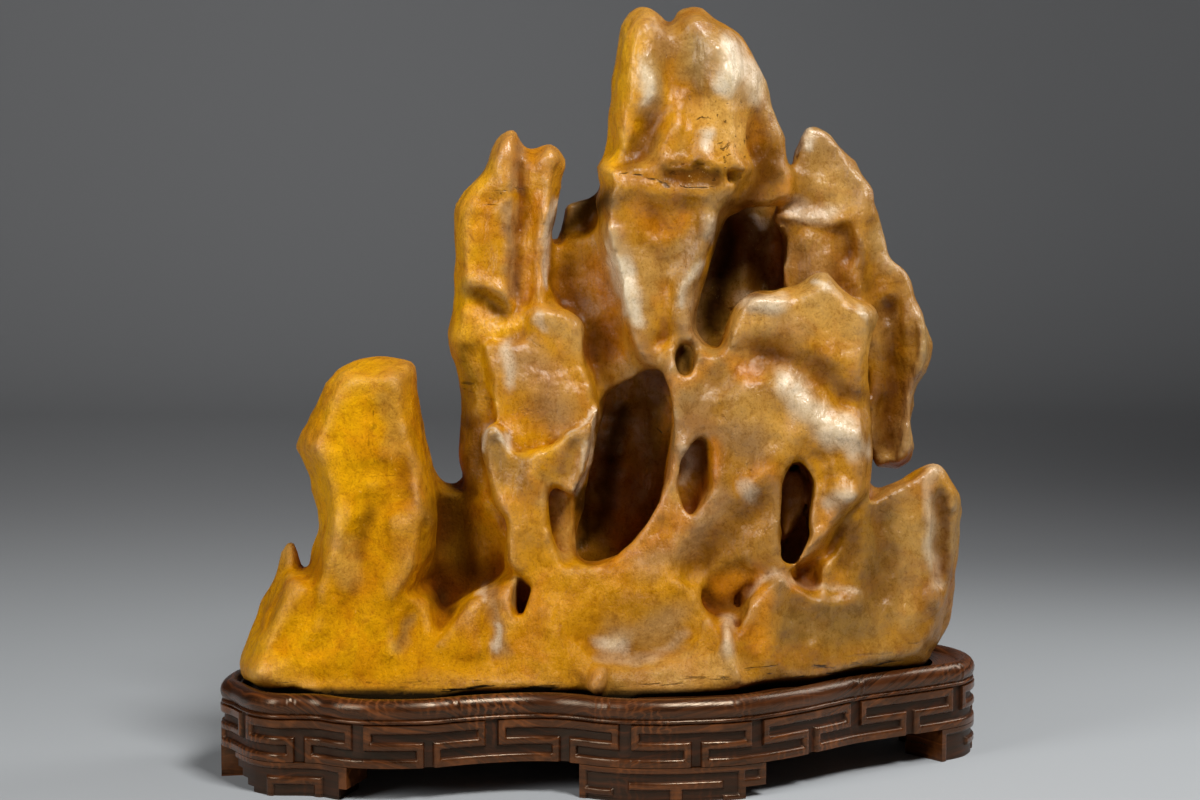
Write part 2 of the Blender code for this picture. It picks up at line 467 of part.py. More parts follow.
HOLLOWS = [
    hollow("cave", back=38, lean=0.0, edge=5, outline=[
        (4, 202), (13, 209), (24, 213.5), (30, 214.5), (33.5, 210), (35.5, 202), (35.5, 184.5),
        (33, 166.5), (28.5, 149), (20, 134), (9, 123), (0, 119), (-7, 119), (-12, 122), (-15, 129),
        (-14, 140), (-10, 155), (-6, 172.5), (-1.5, 187.5)
    ]),
    hollow("small_hole", back=28, lean=0.0, edge=3, outline=[
        (42, 227.5), (45.5, 225), (46.5, 219.5), (45, 214), (41.5, 212), (38.5, 215),
        (37.5, 220.5), (39, 225)
    ]),
    hollow("slot", back=-21, lean=-0.2, edge=4, outline=[
        (56, 180.5), (59.5, 176), (60, 162.5), (56.5, 150), (51, 142), (47, 148), (46, 162),
        (49.5, 174.5)
    ]),
    hollow("side_hole", back=30, lean=-0.05, edge=3, outline=[
        (100, 168.5), (105.5, 162.5), (107, 154.5), (106.5, 139.5), (106.5, 131.5), (101.5, 121.5),
        (96.5, 118), (91.5, 122), (92, 135), (93, 154.5), (96, 164)
    ]),
    hollow("pocket", back=-36, lean=0.1, edge=7, outline=[
        (49.5, 100), (51, 108), (56, 114.5), (64, 118.5), (73, 117.5), (83, 115), (87.5, 111.5),
        (82, 104), (75, 96), (69, 91), (60, 91), (53, 94.5)
    ]),
    hollow("pocket_crack", back=-31, lean=0.1, edge=3, outline=[
        (66, 104), (72, 110), (81, 112.5), (85, 111), (78, 104), (71, 96), (65, 95)
    ]),
    hollow("mound_slot", back=-30, lean=0.15, edge=2, outline=[
        (-43, 112.5), (-40.5, 113.5), (-38.5, 107.5), (-40, 100), (-42, 93), (-44.5, 94),
        (-45.5, 102.5)
    ]),
    hollow("right_cavity", back=40, lean=0.0, edge=5, outline=[
        (63, 280), (69, 289), (75, 291.5), (80, 290), (82, 284), (87, 280), (88, 256.5), (76, 255),
        (67.5, 249), (62, 238), (58.5, 228.5), (53, 231.5), (51.5, 250), (57.5, 269)
    ]),
    hollow("flute", back=0, lean=0.0, edge=7, outline=[
        (168.5, 156), (173.5, 153), (177, 142.5), (177, 130), (174, 114), (170, 106),
        (166.5, 117.5), (165.5, 132.5), (166, 146)
    ]),
    hollow("eye_pit", back=-22, lean=0.0, edge=2, outline=[
        (65, 314), (68.5, 314.5), (70, 311.5), (67.5, 309.5), (64.5, 310.5)
    ]),
]


# Curves and distances in a plane

def closed_curve(points, steps=4):
    """Return a smooth closed curve through the points, with steps samples for each of them."""
    knots = np.array(points, dtype=float)
    before = np.roll(knots, 1, axis=0)
    after = np.roll(knots, -1, axis=0)
    beyond = np.roll(knots, -2, axis=0)
    rows = []
    for step in range(steps):
        t = step / steps
        rows.append(0.5 * (2 * knots + (after - before) * t
                           + (2 * before - 5 * knots + 4 * after - beyond) * t ** 2
                           + (3 * knots - before - 3 * after + beyond) * t ** 3))
    return np.stack(rows, axis=1).reshape(-1, 2)


def open_curve(points, steps=4):
    """Return a smooth open curve through the points."""
    if len(points) == 2:
        return np.array(points, dtype=float)
    knots = np.array(points, dtype=float)
    first = 2 * knots[0] - knots[1]
    last = 2 * knots[-1] - knots[-2]
    padded = np.vstack([first, knots, last])
    rows = []
    for before, here, after, beyond in zip(padded, padded[1:], padded[2:], padded[3:]):
        for step in range(steps):
            t = step / steps
            rows.append(0.5 * (2 * here + (after - before) * t
                               + (2 * before - 5 * here + 4 * after - beyond) * t ** 2
                               + (3 * here - before - 3 * after + beyond) * t ** 3))
    rows.append(knots[-1])
    return np.array(rows)


def side_of_line(across, up, line):
    """Return the distance to a chain of straight pieces, negative on its left as it is followed."""
    nearest = np.full(across.shape, 1e9, dtype=np.float32)
    side = np.ones(across.shape, dtype=np.float32)
    for (ax, ay), (bx, by) in zip(line, line[1:]):
        dx, dy = bx - ax, by - ay
        along = np.clip(((across - ax) * dx + (up - ay) * dy) / max(dx * dx + dy * dy, 1e-9), 0, 1)
        gap = (across - ax - along * dx) ** 2 + (up - ay - along * dy) ** 2
        turn = np.where(dx * (up - ay) - dy * (across - ax) > 0, -1, 1)
        side = np.where(gap < nearest, turn, side)
        nearest = np.minimum(nearest, gap)
    return np.sqrt(nearest) * side


def signed_distance(across, up, outline):
    """Return the distance to a closed outline, negative inside it."""
    loop = np.vstack([outline, outline[:1]])
    inside = np.zeros(across.shape, dtype=bool)
    for (ax, ay), (bx, by) in zip(loop, loop[1:]):
        if ay != by:
            crosses = ((ay > up) != (by > up)) & (across < (bx - ax) * (up - ay) / (by - ay) + ax)
            inside ^= crosses
    gap = np.abs(side_of_line(across, up, loop))
    return np.where(inside, -gap, gap).astype(np.float32)


def drawing_grid():
    """Return the places of the drawing's raster."""
    across = DRAWING_ORIGIN[0] + DRAWING_STEP * np.arange(DRAWING_SIZE[0], dtype=np.float32)
    up = DRAWING_ORIGIN[1] + DRAWING_STEP * np.arange(DRAWING_SIZE[1], dtype=np.float32)
    return np.meshgrid(across, up, indexing="ij")


def read_raster(raster, origin, across, up):
    """Read a raster between its places."""
    column = np.clip((across - origin[0]) / DRAWING_STEP, 0, raster.shape[0] - 1.001)
    row = np.clip((up - origin[1]) / DRAWING_STEP, 0, raster.shape[1] - 1.001)
    i = column.astype(np.int32)
    j = row.astype(np.int32)
    s = column - i
    t = row - j
    low = raster[i, j] * (1 - s) + raster[i + 1, j] * s
    high = raster[i, j + 1] * (1 - s) + raster[i + 1, j + 1] * s
    return low * (1 - t) + high * t


# The field of the stone: negative inside, in millimetres

def seat_raster():
    """Return the distance to the stone's foot seen from above, kept inside the stand's rim."""
    across = FIELD_LOW[0] + DRAWING_STEP * np.arange(DRAWING_SIZE[0], dtype=np.float32)
    deep = FIELD_LOW[1] + DRAWING_STEP * np.arange(SEAT_ROWS, dtype=np.float32)
    grid = np.meshgrid(across, deep, indexing="ij")
    return np.maximum(signed_distance(*grid, closed_curve(ROCK_PLAN)),
                      signed_distance(*grid, closed_curve(STAND_PLAN)) + SEAT_MARGIN)


SEAT_RASTER = seat_raster()


def relief_map(strokes, across, up):
    """Add up a lobe's strokes into one map of how far its front stands out."""
    total = np.zeros(across.shape, dtype=np.float32)
    for mark in strokes:
        gap = side_of_line(across, up, open_curve(mark["points"]))
        if mark["shape"] == "lip":
            gap = np.where(gap < 0, gap / LIP_STEEPNESS, gap)
        reach = np.clip(np.abs(gap) / mark["radius"], 0, 1)
        if mark["shape"] == "sharp":
            fade = (1 - reach) ** 2
        elif mark["shape"] == "soft":
            fade = (1 - reach ** 2) ** 2
        else:
            fade = 1 - (np.hypot(reach, FOLD_ROUNDING) - FOLD_ROUNDING) / FOLD_DROP
        total += mark["height"] * fade
    return total


def smooth_min(first, second, blend):
    """Join two fields and round the corner between them."""
    near = np.maximum(blend - np.abs(first - second), 0) / blend
    return np.minimum(first, second) - near * near * blend * 0.25


def smooth_max(first, second, blend):
    """Keep what two fields share and round the corner between them."""
    return -smooth_min(-first, -second, blend)


def pillow(distance, offset, edge, thickness):
    """Return the field of a pad whose rim curves over the edge width and the thickness."""
    rim = np.maximum(0, 1 + distance / edge)
    height = np.sqrt((offset / thickness) ** 2 + CORE ** 2)
    size = (rim ** RIM_POWER + height ** RIM_POWER) ** (1 / RIM_POWER)
    slope = np.hypot(rim ** (RIM_POWER - 1) / edge, height ** (RIM_POWER - 1) / thickness)
    return size ** (RIM_POWER - 1) * (size - 1) / slope


class Field:
    """A block of space filled with the distance to the stone's surface."""

    def __init__(self, step):
        self.step = step
        self.axes = [low + step * np.arange(int(size / step) + 1, dtype=np.float32)
                     for low, size in zip(FIELD_LOW, FIELD_SIZE)]
        self.x, self.y, self.z = np.meshgrid(*self.axes, indexing="ij")
        sine, cosine = math.sin(EYE_TILT), math.cos(EYE_TILT)
        forward = self.y - EYE_TARGET[1]
        above = self.z - EYE_TARGET[2]
        depth = EYE_DISTANCE + forward * cosine - above * sine
        self.u = (self.x - EYE_TARGET[0]) * EYE_DISTANCE / depth
        self.v = EYE_TARGET_V + (above * cosine + forward * sine) * EYE_DISTANCE / depth
        self.value = np.full(self.x.shape, FAR, dtype=np.float32)

    def window(self, outline, margin=28.0):
        """Return the slices of the block that an outline can reach."""
        low = np.min(outline, axis=0) - margin
        high = np.max(outline, axis=0) + margin
        along_x = slice(*np.searchsorted(self.axes[0], (low[0], high[0])))
        along_z = slice(*np.searchsorted(self.axes[2], (low[1] - 6, high[1] + 6)))
        return along_x, slice(None), along_z

    def lobe_field(self, shape, place):
        """Return one lobe's field in a window."""
        across, up = drawing_grid()
        outline = closed_curve(shape["outline"])
        distance = read_raster(signed_distance(across, up, outline), DRAWING_ORIGIN,
                               self.u[place], self.v[place])
        relief = read_raster(relief_map(shape["relief"], across, up), DRAWING_ORIGIN,
                             self.u[place], self.v[place])
        lowest = max(outline[:, 1].min(), BASE_V)
        rise = np.clip((self.v[place] - lowest) / (outline[:, 1].max() - lowest), 0, 1)
        middle = shape["depth"] + shape["lean"] * (self.u[place] - outline[:, 0].mean())
        front = shape["front"][0] + (shape["front"][1] - shape["front"][0]) * rise + relief
        back = shape["back"][0] + (shape["back"][1] - shape["back"][0]) * rise
        offset = self.y[place] - middle
        thickness = np.where(offset < 0, np.maximum(front, LEAST_BULGE), back)
        return pillow(distance, offset, shape["edge"], thickness)

    def add(self, shape):
        """Melt one lobe into the stone."""
        place = self.window(shape["outline"])
        self.value[place] = smooth_min(self.value[place], self.lobe_field(shape, place),
                                       shape["blend"])

    def cut(self, shape):
        """Take one hollow out of the stone."""
        place = self.window(shape["outline"])
        across, up = drawing_grid()
        raster = signed_distance(across, up, closed_curve(shape["outline"]))
        inward = np.maximum(self.y[place] - FRONT_LIMIT, 0)
        distance = read_raster(raster, DRAWING_ORIGIN, self.u[place] - shape["lean"] * inward,
                               self.v[place])
        depth = self.y[place] - shape["back"]
        hole = smooth_max(distance, depth, shape["edge"])
        self.value[place] = smooth_max(self.value[place], -hole, CUT_ROUNDING)

    def trim_foot(self):
        """Shape the stone's underside: a flat seat, a raised rim and an outline seen from above."""
        distance = read_raster(SEAT_RASTER, FIELD_LOW, self.x, self.y)
        flare = np.maximum(self.z - ROCK_EDGE, 0) * FOOT_FLARE
        self.value = smooth_max(self.value, distance - flare, FOOT_ROUNDING)
        share = np.clip(1 + distance / UNDERCUT_WIDTH, 0, 1)
        underside = ROCK_SEAT + (ROCK_EDGE - ROCK_SEAT) * share ** 2 * (3 - 2 * share)
        for x, y, radius, lift in UNDERCUTS:
            reach = np.clip(np.hypot(self.x - x, self.y - y) / radius, 0, 1)
            underside = underside + lift * (1 - reach ** 2) ** 2 * share
        self.value = np.maximum(self.value, underside - self.z)


def hash_noise(i, j, k, seed):
    """Return an unrepeating number from 0 to 1 for each whole place."""
    mixed = i * 73856093 ^ j * 19349663 ^ k * 83492791 ^ seed * 2654435761
    mixed = (mixed ^ (mixed >> 13)) * 1274126177
    return ((mixed ^ (mixed >> 16)) & 0xFFFFFF) / float(0xFFFFFF)


def smooth_noise(x, y, z, size, seed):
    """Return smooth noise from -1 to 1 with lumps of the given size."""
    px, py, pz = x / size, y / size, z / size
    i, j, k = (np.floor(p).astype(np.int64) for p in (px, py, pz))
    fx, fy, fz = (p - np.floor(p) for p in (px, py, pz))
    fx, fy, fz = (f * f * (3 - 2 * f) for f in (fx, fy, fz))
    total = 0
    for di in (0, 1):
        for dj in (0, 1):
            for dk in (0, 1):
                weight = ((fx if di else 1 - fx) * (fy if dj else 1 - fy) * (fz if dk else 1 - fz))
                total = total + weight * hash_noise(i + di, j + dj, k + dk, seed)
    return total * 2 - 1


def scallops(x, y, z, size, seed):
    """Return the depth of round scoops that meet in crisp ridges, from 0 on a ridge to 1."""
    px, py, pz = x / size, y / size, z / size
    i, j, k = (np.floor(p).astype(np.int64) for p in (px, py, pz))
    nearest = np.full(px.shape, 9.0)
    for di in (-1, 0, 1):
        for dj in (-1, 0, 1):
            for dk in (-1, 0, 1):
                ci, cj, ck = i + di, j + dj, k + dk
                dx = ci + hash_noise(ci, cj, ck, seed) - px
                dy = cj + hash_noise(ci, cj, ck, seed + 1) - py
                dz = ck + hash_noise(ci, cj, ck, seed + 2) - pz
                nearest = np.minimum(nearest, dx * dx + dy * dy + dz * dz)
    return np.clip(1 - nearest / SCOOP_REACH, 0, 1)


def weather(field):
    """Wear the stone: broad scoops on its back and sides, slight unevenness all over."""
    near = np.nonzero(np.abs(field.value) < WEATHER_BAND)
    x, y, z = field.x[near], field.y[near], field.z[near]
    behind = np.clip((y - SCOOPS_FROM_Y) / SCOOPS_FADE, 0, 1)
    behind = behind * behind * (3 - 2 * behind)
    free = np.clip((z - WEAR_FROM_Z) / WEAR_RISE, 0, 1)
    depth = SCOOP_DEPTH * scallops(x, y, z, SCOOP_SIZE, 11) * behind
    depth = depth + 0.5 * SCOOP_DEPTH * scallops(x, y, z, SCOOP_SIZE * 0.5, 23) * behind
    depth = depth + UNEVENNESS * smooth_noise(x, y, z, LUMP_SIZES[0], 5)
    depth = depth + 0.4 * UNEVENNESS * smooth_noise(x, y, z, LUMP_SIZES[1], 7)
    field.value[near] += (depth * free).astype(np.float32)


def carve_stone(step):
    """Return the finished field of the stone at a grid step."""
    field = Field(step)
    for shape in MAIN_LOBES:
        field.add(shape)
    for shape in HOLLOWS:
        field.cut(shape)
    for shape in INNER_LOBES:
        field.add(shape)
    weather(field)
    field.trim_foot()
    return field


def surface_mesh(field, name):
    """Turn a field into a mesh in metres."""
    block = openvdb.FloatGrid(FAR)
    block.copyFromArray(np.ascontiguousarray(field.value))
    points, quads = block.convertToQuads(0.0)
    places = (points * field.step + np.array(FIELD_LOW)) * MM
    mesh = bpy.data.meshes.new(name)
    mesh.from_pydata(places.tolist(), [], quads.tolist())
    return mesh


# The stand

def plan_samples():
    """Return the stand's outline as a fine loop with its length run from the left end."""
    loop = closed_curve(STAND_PLAN, steps=12)
    closed = np.vstack([loop, loop[:1]])
    run = np.concatenate([[0.0], np.cumsum(np.hypot(*np.diff(closed, axis=0).T))])
    return closed, run


PLAN_LOOP, PLAN_RUN = plan_samples()
PLAN_LENGTH = PLAN_RUN[-1]


def plan_point(run, inset, reach=1.5):
    """Return the place a run along the outline and an inset inside it, square to a short chord."""
    run = run % PLAN_LENGTH
    here, ahead, behind = (
        np.array([np.interp((run + shift) % PLAN_LENGTH, PLAN_RUN, PLAN_LOOP[:, axis])
                  for axis in (0, 1)])
        for shift in (0.0, reach, -reach))
    along = ahead - behind
    along /= np.linalg.norm(along)
    inward = np.array([-along[1], along[0]])
    return here + inward * inset


def socket_point(run):
    """Return the place on the socket's edge that faces a place on the outline."""
    outer = plan_point(run, 0.0)
    spine = np.array([np.clip(outer[0] * SPINE_SHARE, -SPINE_REACH, SPINE_REACH), SPINE_Y])
    near, far = 0.0, 1.0
    for _ in range(SOCKET_SEARCH_STEPS):
        middle = (near + far) / 2
        place = spine + (outer - spine) * middle
        gap = read_raster(SEAT_RASTER, FIELD_LOW, place[0], place[1])
        if gap < SOCKET_CLEARANCE:
            near = middle
        else:
            far = middle
    return spine + (outer - spine) * near


def new_part(name, mesh, material):
    """Put a finished mesh in the object's collection."""
    mesh.materials.append(material)
    item = bpy.data.objects.new(name, mesh)
    PARTS.objects.link(item)
    return item


def finish(name, color, roughness):
    """Return a plain material."""
    material = bpy.data.materials.new(name)
    material.use_nodes = True
    shader = material.node_tree.nodes["Principled BSDF"]
    shader.inputs["Base Color"].default_value = (*color, 1.0)
    shader.inputs["Roughness"].default_value = roughness
    shader.inputs["Metallic"].default_value = 0.0
    return material


def grid_of_places(columns, rows, place):
    """Return a bmesh grid whose corner (i, j) stands at place(i, j), with its corners by index."""
    bm = bmesh.new()
    bmesh.ops.create_grid(bm, x_segments=columns - 1, y_segments=rows - 1, size=0.5)
    corners = {}
    for vert in bm.verts:
        i = round((vert.co.x + 0.5) * (columns - 1))
        j = round((vert.co.y + 0.5) * (rows - 1))
        corners[i, j] = vert
    for (i, j), vert in corners.items():
        vert.co = Vector(place(i, j)) * MM
    return bm, corners


def cell_faces(corners):
    """Return the grid's faces by the index of their first corner."""
    faces = {}
    for (i, j), vert in corners.items():
        far = corners.get((i + 1, j + 1))
        if far:
            faces[i, j] = next(face for face in vert.link_faces if far in face.verts)
    return faces


def raise_cells(bm, faces, depth, outward):
    """Pull the given faces out along their own direction in plan."""
    made = bmesh.ops.extrude_face_region(bm, geom=faces)
    for vert in (item for item in made["geom"] if isinstance(item, bmesh.types.BMVert)):
        vert.co += outward(vert.co) * depth * MM
    bmesh.ops.delete(bm, geom=faces, context="FACES")


def fret_columns():
    """Return where the fret's columns begin along the outline, and each column's rows."""
    repeat = sum(width for width, _ in FRET_COLUMNS)
    scale = PLAN_LENGTH / FRET_PERIODS / repeat
    front = (PLAN_LOOP[:, 1] < 0) & (PLAN_LOOP[:, 0] < 0)
    start = np.interp(FRET_START_X, PLAN_LOOP[front, 0], PLAN_RUN[front])
    runs, rows = [], []
    run = start
    for _ in range(FRET_PERIODS):
        for width, raised in FRET_COLUMNS:
            runs.append(run)
            rows.append(raised)
            run += width * scale
    return runs, rows


def build_stand(material):
    """Carve the slab: socket, rim, and the frieze with its fret."""
    runs, raised = fret_columns()
    profile = [("socket", SOCKET_FLOOR), ("socket", STAND_TOP)]
    profile += [(inset, level) for inset, level in RIM_PROFILE]
    fret_levels = np.linspace(FRIEZE_TOP, FRIEZE_BOTTOM, len(FRET_COLUMNS[0][1]) + 1)
    first_fret_row = len(profile)
    profile += [(FRET_DEPTH, level) for level in fret_levels]
    sockets = [socket_point(run) for run in runs]

    def place(i, j):
        inset, level = profile[j]
        column = i % len(runs)
        flat = sockets[column] if inset == "socket" else plan_point(runs[column], inset)
        return flat[0], flat[1], level

    bm, corners = grid_of_places(len(runs) + 1, len(profile), place)
    faces = cell_faces(corners)
    carved = [faces[i, first_fret_row + row]
              for i, cells in enumerate(raised)
              for row, cell in enumerate(cells) if cell == "#"]
    around = {}
    for (i, j), vert in corners.items():
        if j >= first_fret_row:
            inner = np.array(place(i, j)[:2])
            outer = plan_point(runs[i % len(runs)], 0.0)
            around[tuple(round(c, 6) for c in vert.co[:2])] = Vector((*(outer - inner), 0)).normalized()
    bmesh.ops.remove_doubles(bm, verts=bm.verts, dist=WELD)
    raise_cells(bm, carved, FRET_DEPTH, lambda co: around[tuple(round(c, 6) for c in co[:2])])
    bmesh.ops.holes_fill(bm, edges=bm.edges, sides=0)
    return new_part(STAND_NAME, finished_mesh(bm, STAND_NAME), material)


def finished_mesh(bm, name):
    """Turn a bmesh into a closed mesh whose faces point out."""
    bmesh.ops.remove_doubles(bm, verts=bm.verts, dist=WELD)
    bmesh.ops.triangulate(bm, faces=bm.faces)
    bmesh.ops.recalc_face_normals(bm, faces=bm.faces)
    mesh = bpy.data.meshes.new(name)
    bm.to_mesh(mesh)
    bm.free()
    mesh.set_sharp_from_angle(angle=SHARP_ANGLE)
    return mesh


def build_foot(name, start, columns, material):
    """Make one foot: a block that follows the outline, stepped at its ends and carved outside."""
    edges = [start]
    for width, _ in columns:
        edges.append(edges[-1] + width)

    def place(i, j):
        flat = plan_point(edges[i], FOOT_RELIEF)
        return flat[0], flat[1], FOOT_LEVELS[j]

    bm, corners = grid_of_places(len(edges), len(FOOT_LEVELS), place)
    outward = {}
    deeper = {}
    for (i, j), vert in corners.items():
        here = np.array(place(i, j)[:2])
        outer = plan_point(edges[i], 0.0)
        key = tuple(round(c, 6) for c in vert.co[:2])
        outward[key] = Vector((*(outer - here), 0)).normalized()
        deeper[key] = Vector((*(plan_point(edges[i], FOOT_DEPTH, FOOT_CHORD) - here), 0))
    faces = cell_faces(corners)
    cut_away = [faces[i, j] for i, (_, cells) in enumerate(columns)
                for j, cell in enumerate(cells) if cell == " "]
    carved = [faces[i, j] for i, (_, cells) in enumerate(columns)
              for j, cell in enumerate(cells) if cell == "#"]
    bmesh.ops.delete(bm, geom=cut_away, context="FACES")
    outer_faces = list(bm.faces)
    shell = bmesh.ops.extrude_face_region(bm, geom=outer_faces, use_keep_orig=True)
    for vert in (item for item in shell["geom"] if isinstance(item, bmesh.types.BMVert)):
        vert.co += deeper[tuple(round(c, 6) for c in vert.co[:2])] * MM
    raise_cells(bm, carved, FOOT_RELIEF,
                lambda co: outward[tuple(round(c, 6) for c in co[:2])])
    return new_part(name, finished_mesh(bm, name), material)


def build_rock(material):
    """Make the stone from its field and cut its seat flat."""
    field = carve_stone(FIELD_STEP)
    mesh = surface_mesh(field, ROCK_NAME)
    bm = bmesh.new()
    bm.from_mesh(mesh)
    bpy.data.meshes.remove(mesh)
    keep_largest_body(bm)
    flatten_seat(bm, SEAT_SNAP)
    raw = bpy.data.meshes.new("rock_raw")
    bm.to_mesh(raw)
    bm.free()
    guide = bpy.data.objects.new("rock_raw", raw)
    PARTS.objects.link(guide)
    thin = guide.modifiers.new("thin", "DECIMATE")
    thin.ratio = ROCK_TRIANGLES / (2 * len(raw.polygons))
    thin.use_collapse_triangulate = True
    thinned = bpy.data.meshes.new_from_object(guide.evaluated_get(bpy.context.evaluated_depsgraph_get()))
    bpy.data.objects.remove(guide)
    bm = bmesh.new()
    bm.from_mesh(thinned)
    bpy.data.meshes.remove(thinned)
    flatten_seat(bm, SEAT_SNAP)
    return new_part(ROCK_NAME, finished_mesh(bm, ROCK_NAME), material)


def flatten_seat(bm, reach):
    """Bring the points just above the seat down onto it."""
    for vert in bm.verts:
        if vert.co.z < (ROCK_SEAT + reach) * MM:
            vert.co.z = ROCK_SEAT * MM


def keep_largest_body(bm):
    """Drop every loose crumb and closed bubble, and keep the stone itself."""
    unseen = set(bm.verts)
    bodies = []
    while unseen:
        body = []
        queue = [unseen.pop()]
        while queue:
            vert = queue.pop()
            body.append(vert)
            for edge in vert.link_edges:
                other = edge.other_vert(vert)
                if other in unseen:
                    unseen.remove(other)
                    queue.append(other)
        bodies.append(body)
    bodies.sort(key=len)
    for body in bodies[:-1]:
        bmesh.ops.delete(bm, geom=body, context="VERTS")


def main():
    """Build the object."""
    stone = finish("weathered_stone", STONE_COLOR, 0.42)
    wood = finish("dark_hardwood", WOOD_COLOR, 0.4)
    build_rock(stone)
    build_stand(wood)
    for name, (start, columns) in FEET.items():
        build_foot(name, start, columns, wood)


for item in list(bpy.data.objects):
    bpy.data.objects.remove(item)
PARTS = bpy.data.collections.new("scholars_rock")
bpy.context.scene.collection.children.link(PARTS)
main()
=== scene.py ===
"""Looks of the scholar's rock on its carved hardwood stand.

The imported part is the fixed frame. The stone is carved again as a fine mesh from the same lobes,
hollows and strokes that its solid comes from, with a wax polish that shows its ochre, tan and
violet-grey patches. The stand is carved again with its rounded fret, its bamboo-like rim and its
block feet in dark, oiled rosewood. Sizes are millimetres unless a name ends in _m.
"""
from __future__ import annotations

import logging
import math
from dataclasses import dataclass, field
from enum import Enum
from typing import Callable, Iterable, Sequence

import bmesh
import bpy
import numpy as np
import openvdb
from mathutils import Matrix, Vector

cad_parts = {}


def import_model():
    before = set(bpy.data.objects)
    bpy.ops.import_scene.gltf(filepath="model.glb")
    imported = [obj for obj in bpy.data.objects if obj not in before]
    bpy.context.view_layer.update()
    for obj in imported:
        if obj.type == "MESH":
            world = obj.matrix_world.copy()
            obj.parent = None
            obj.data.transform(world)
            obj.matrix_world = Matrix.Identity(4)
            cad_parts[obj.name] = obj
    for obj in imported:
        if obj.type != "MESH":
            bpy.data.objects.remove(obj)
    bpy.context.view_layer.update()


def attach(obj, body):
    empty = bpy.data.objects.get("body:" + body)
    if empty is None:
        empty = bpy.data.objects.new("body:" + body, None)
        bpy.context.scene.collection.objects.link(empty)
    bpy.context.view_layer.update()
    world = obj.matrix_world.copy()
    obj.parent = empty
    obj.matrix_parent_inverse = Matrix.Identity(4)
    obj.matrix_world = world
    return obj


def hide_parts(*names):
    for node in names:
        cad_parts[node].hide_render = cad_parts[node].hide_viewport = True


LOG = logging.getLogger("scholars_rock")
MM = 0.001
Point = tuple[float, float]
Colour = tuple[float, float, float]


def from_srgb(red: int, green: int, blue: int) -> tuple[float, float, float, float]:
    """Turn a colour as seen on a screen into the shader's linear one.

    Args:
        red: Red from 0 to 255.
        green: Green from 0 to 255.
        blue: Blue from 0 to 255.

    Returns:
        The linear colour with full alpha.
    """
    linear = [((c / 255 + 0.055) / 1.055) ** 2.4 if c > 10 else c / 255 / 12.92
              for c in (red, green, blue)]
    return (*linear, 1.0)


@dataclass(frozen=True)
class Eye:
    """The point that the front view is drawn from, and the drawing plane through the rock.

    Attributes:
        tilt: How far the view looks down.
        distance: From the eye to the drawing plane.
        target: The place in the middle of the view.
        target_v: The drawing's height at the target.
        lens_m: Focal length for a sensor 36 mm wide, in metres times a thousand.
    """

    tilt: float = math.radians(6.0)
    distance: float = 1450.0
    target: tuple[float, float, float] = (-2.5, 0.0, 184.0)
    target_v: float = 200.0
    lens: float = 87.0

    def project(self, x: np.ndarray, y: np.ndarray, z: np.ndarray) -> tuple[np.ndarray, np.ndarray]:
        """Find where places fall on the drawing.

        Args:
            x: Places along the width.
            y: Places along the depth.
            z: Places along the height.

        Returns:
            The drawing's across and up values.
        """
        sine, cosine = math.sin(self.tilt), math.cos(self.tilt)
        forward = y - self.target[1]
        above = z - self.target[2]
        scale = self.distance / (self.distance + forward * cosine - above * sine)
        return ((x - self.target[0]) * scale,
                self.target_v + (above * cosine + forward * sine) * scale)


EYE = Eye()


class Signal:
    """A shader value that can be used in Python arithmetic."""

    def __init__(self, paint: "Paint", socket: bpy.types.NodeSocket) -> None:
        """Keep the socket and the material that it belongs to."""
        self.paint = paint
        self.socket = socket

    def _math(self, operation: str, first: object, second: object) -> "Signal":
        """Add one Math node.

        Args:
            operation: The node's operation.
            first: A Signal or a number.
            second: A Signal or a number.

        Returns:
            The node's result.
        """
        return self.paint.node("ShaderNodeMath", {"operation": operation}, {0: first, 1: second})

    def __add__(self, other: object) -> "Signal":
        """Add a value."""
        return self._math("ADD", self, other)

    def __radd__(self, other: object) -> "Signal":
        """Add to a number."""
        return self._math("ADD", other, self)

    def __sub__(self, other: object) -> "Signal":
        """Take a value away."""
        return self._math("SUBTRACT", self, other)

    def __rsub__(self, other: object) -> "Signal":
        """Take this away from a number."""
        return self._math("SUBTRACT", other, self)

    def __mul__(self, other: object) -> "Signal":
        """Multiply by a value."""
        return self._math("MULTIPLY", self, other)

    def __rmul__(self, other: object) -> "Signal":
        """Multiply a number."""
        return self._math("MULTIPLY", other, self)

    def __pow__(self, other: object) -> "Signal":
        """Raise to a power."""
        return self._math("POWER", self, other)

    def least(self, other: object) -> "Signal":
        """Keep the smaller value."""
        return self._math("MINIMUM", self, other)

    def most(self, other: object) -> "Signal":
        """Keep the larger value."""
        return self._math("MAXIMUM", self, other)

    def step(self, low: float, high: float) -> "Signal":
        """Rise smoothly from 0 at low to 1 at high.

        Args:
            low: Where the result is 0.
            high: Where the result is 1; it may be below low.

        Returns:
            The smooth step.
        """
        return self.paint.node("ShaderNodeMapRange", {"interpolation_type": "SMOOTHSTEP"},
                               {"Value": self, "From Min": low, "From Max": high})


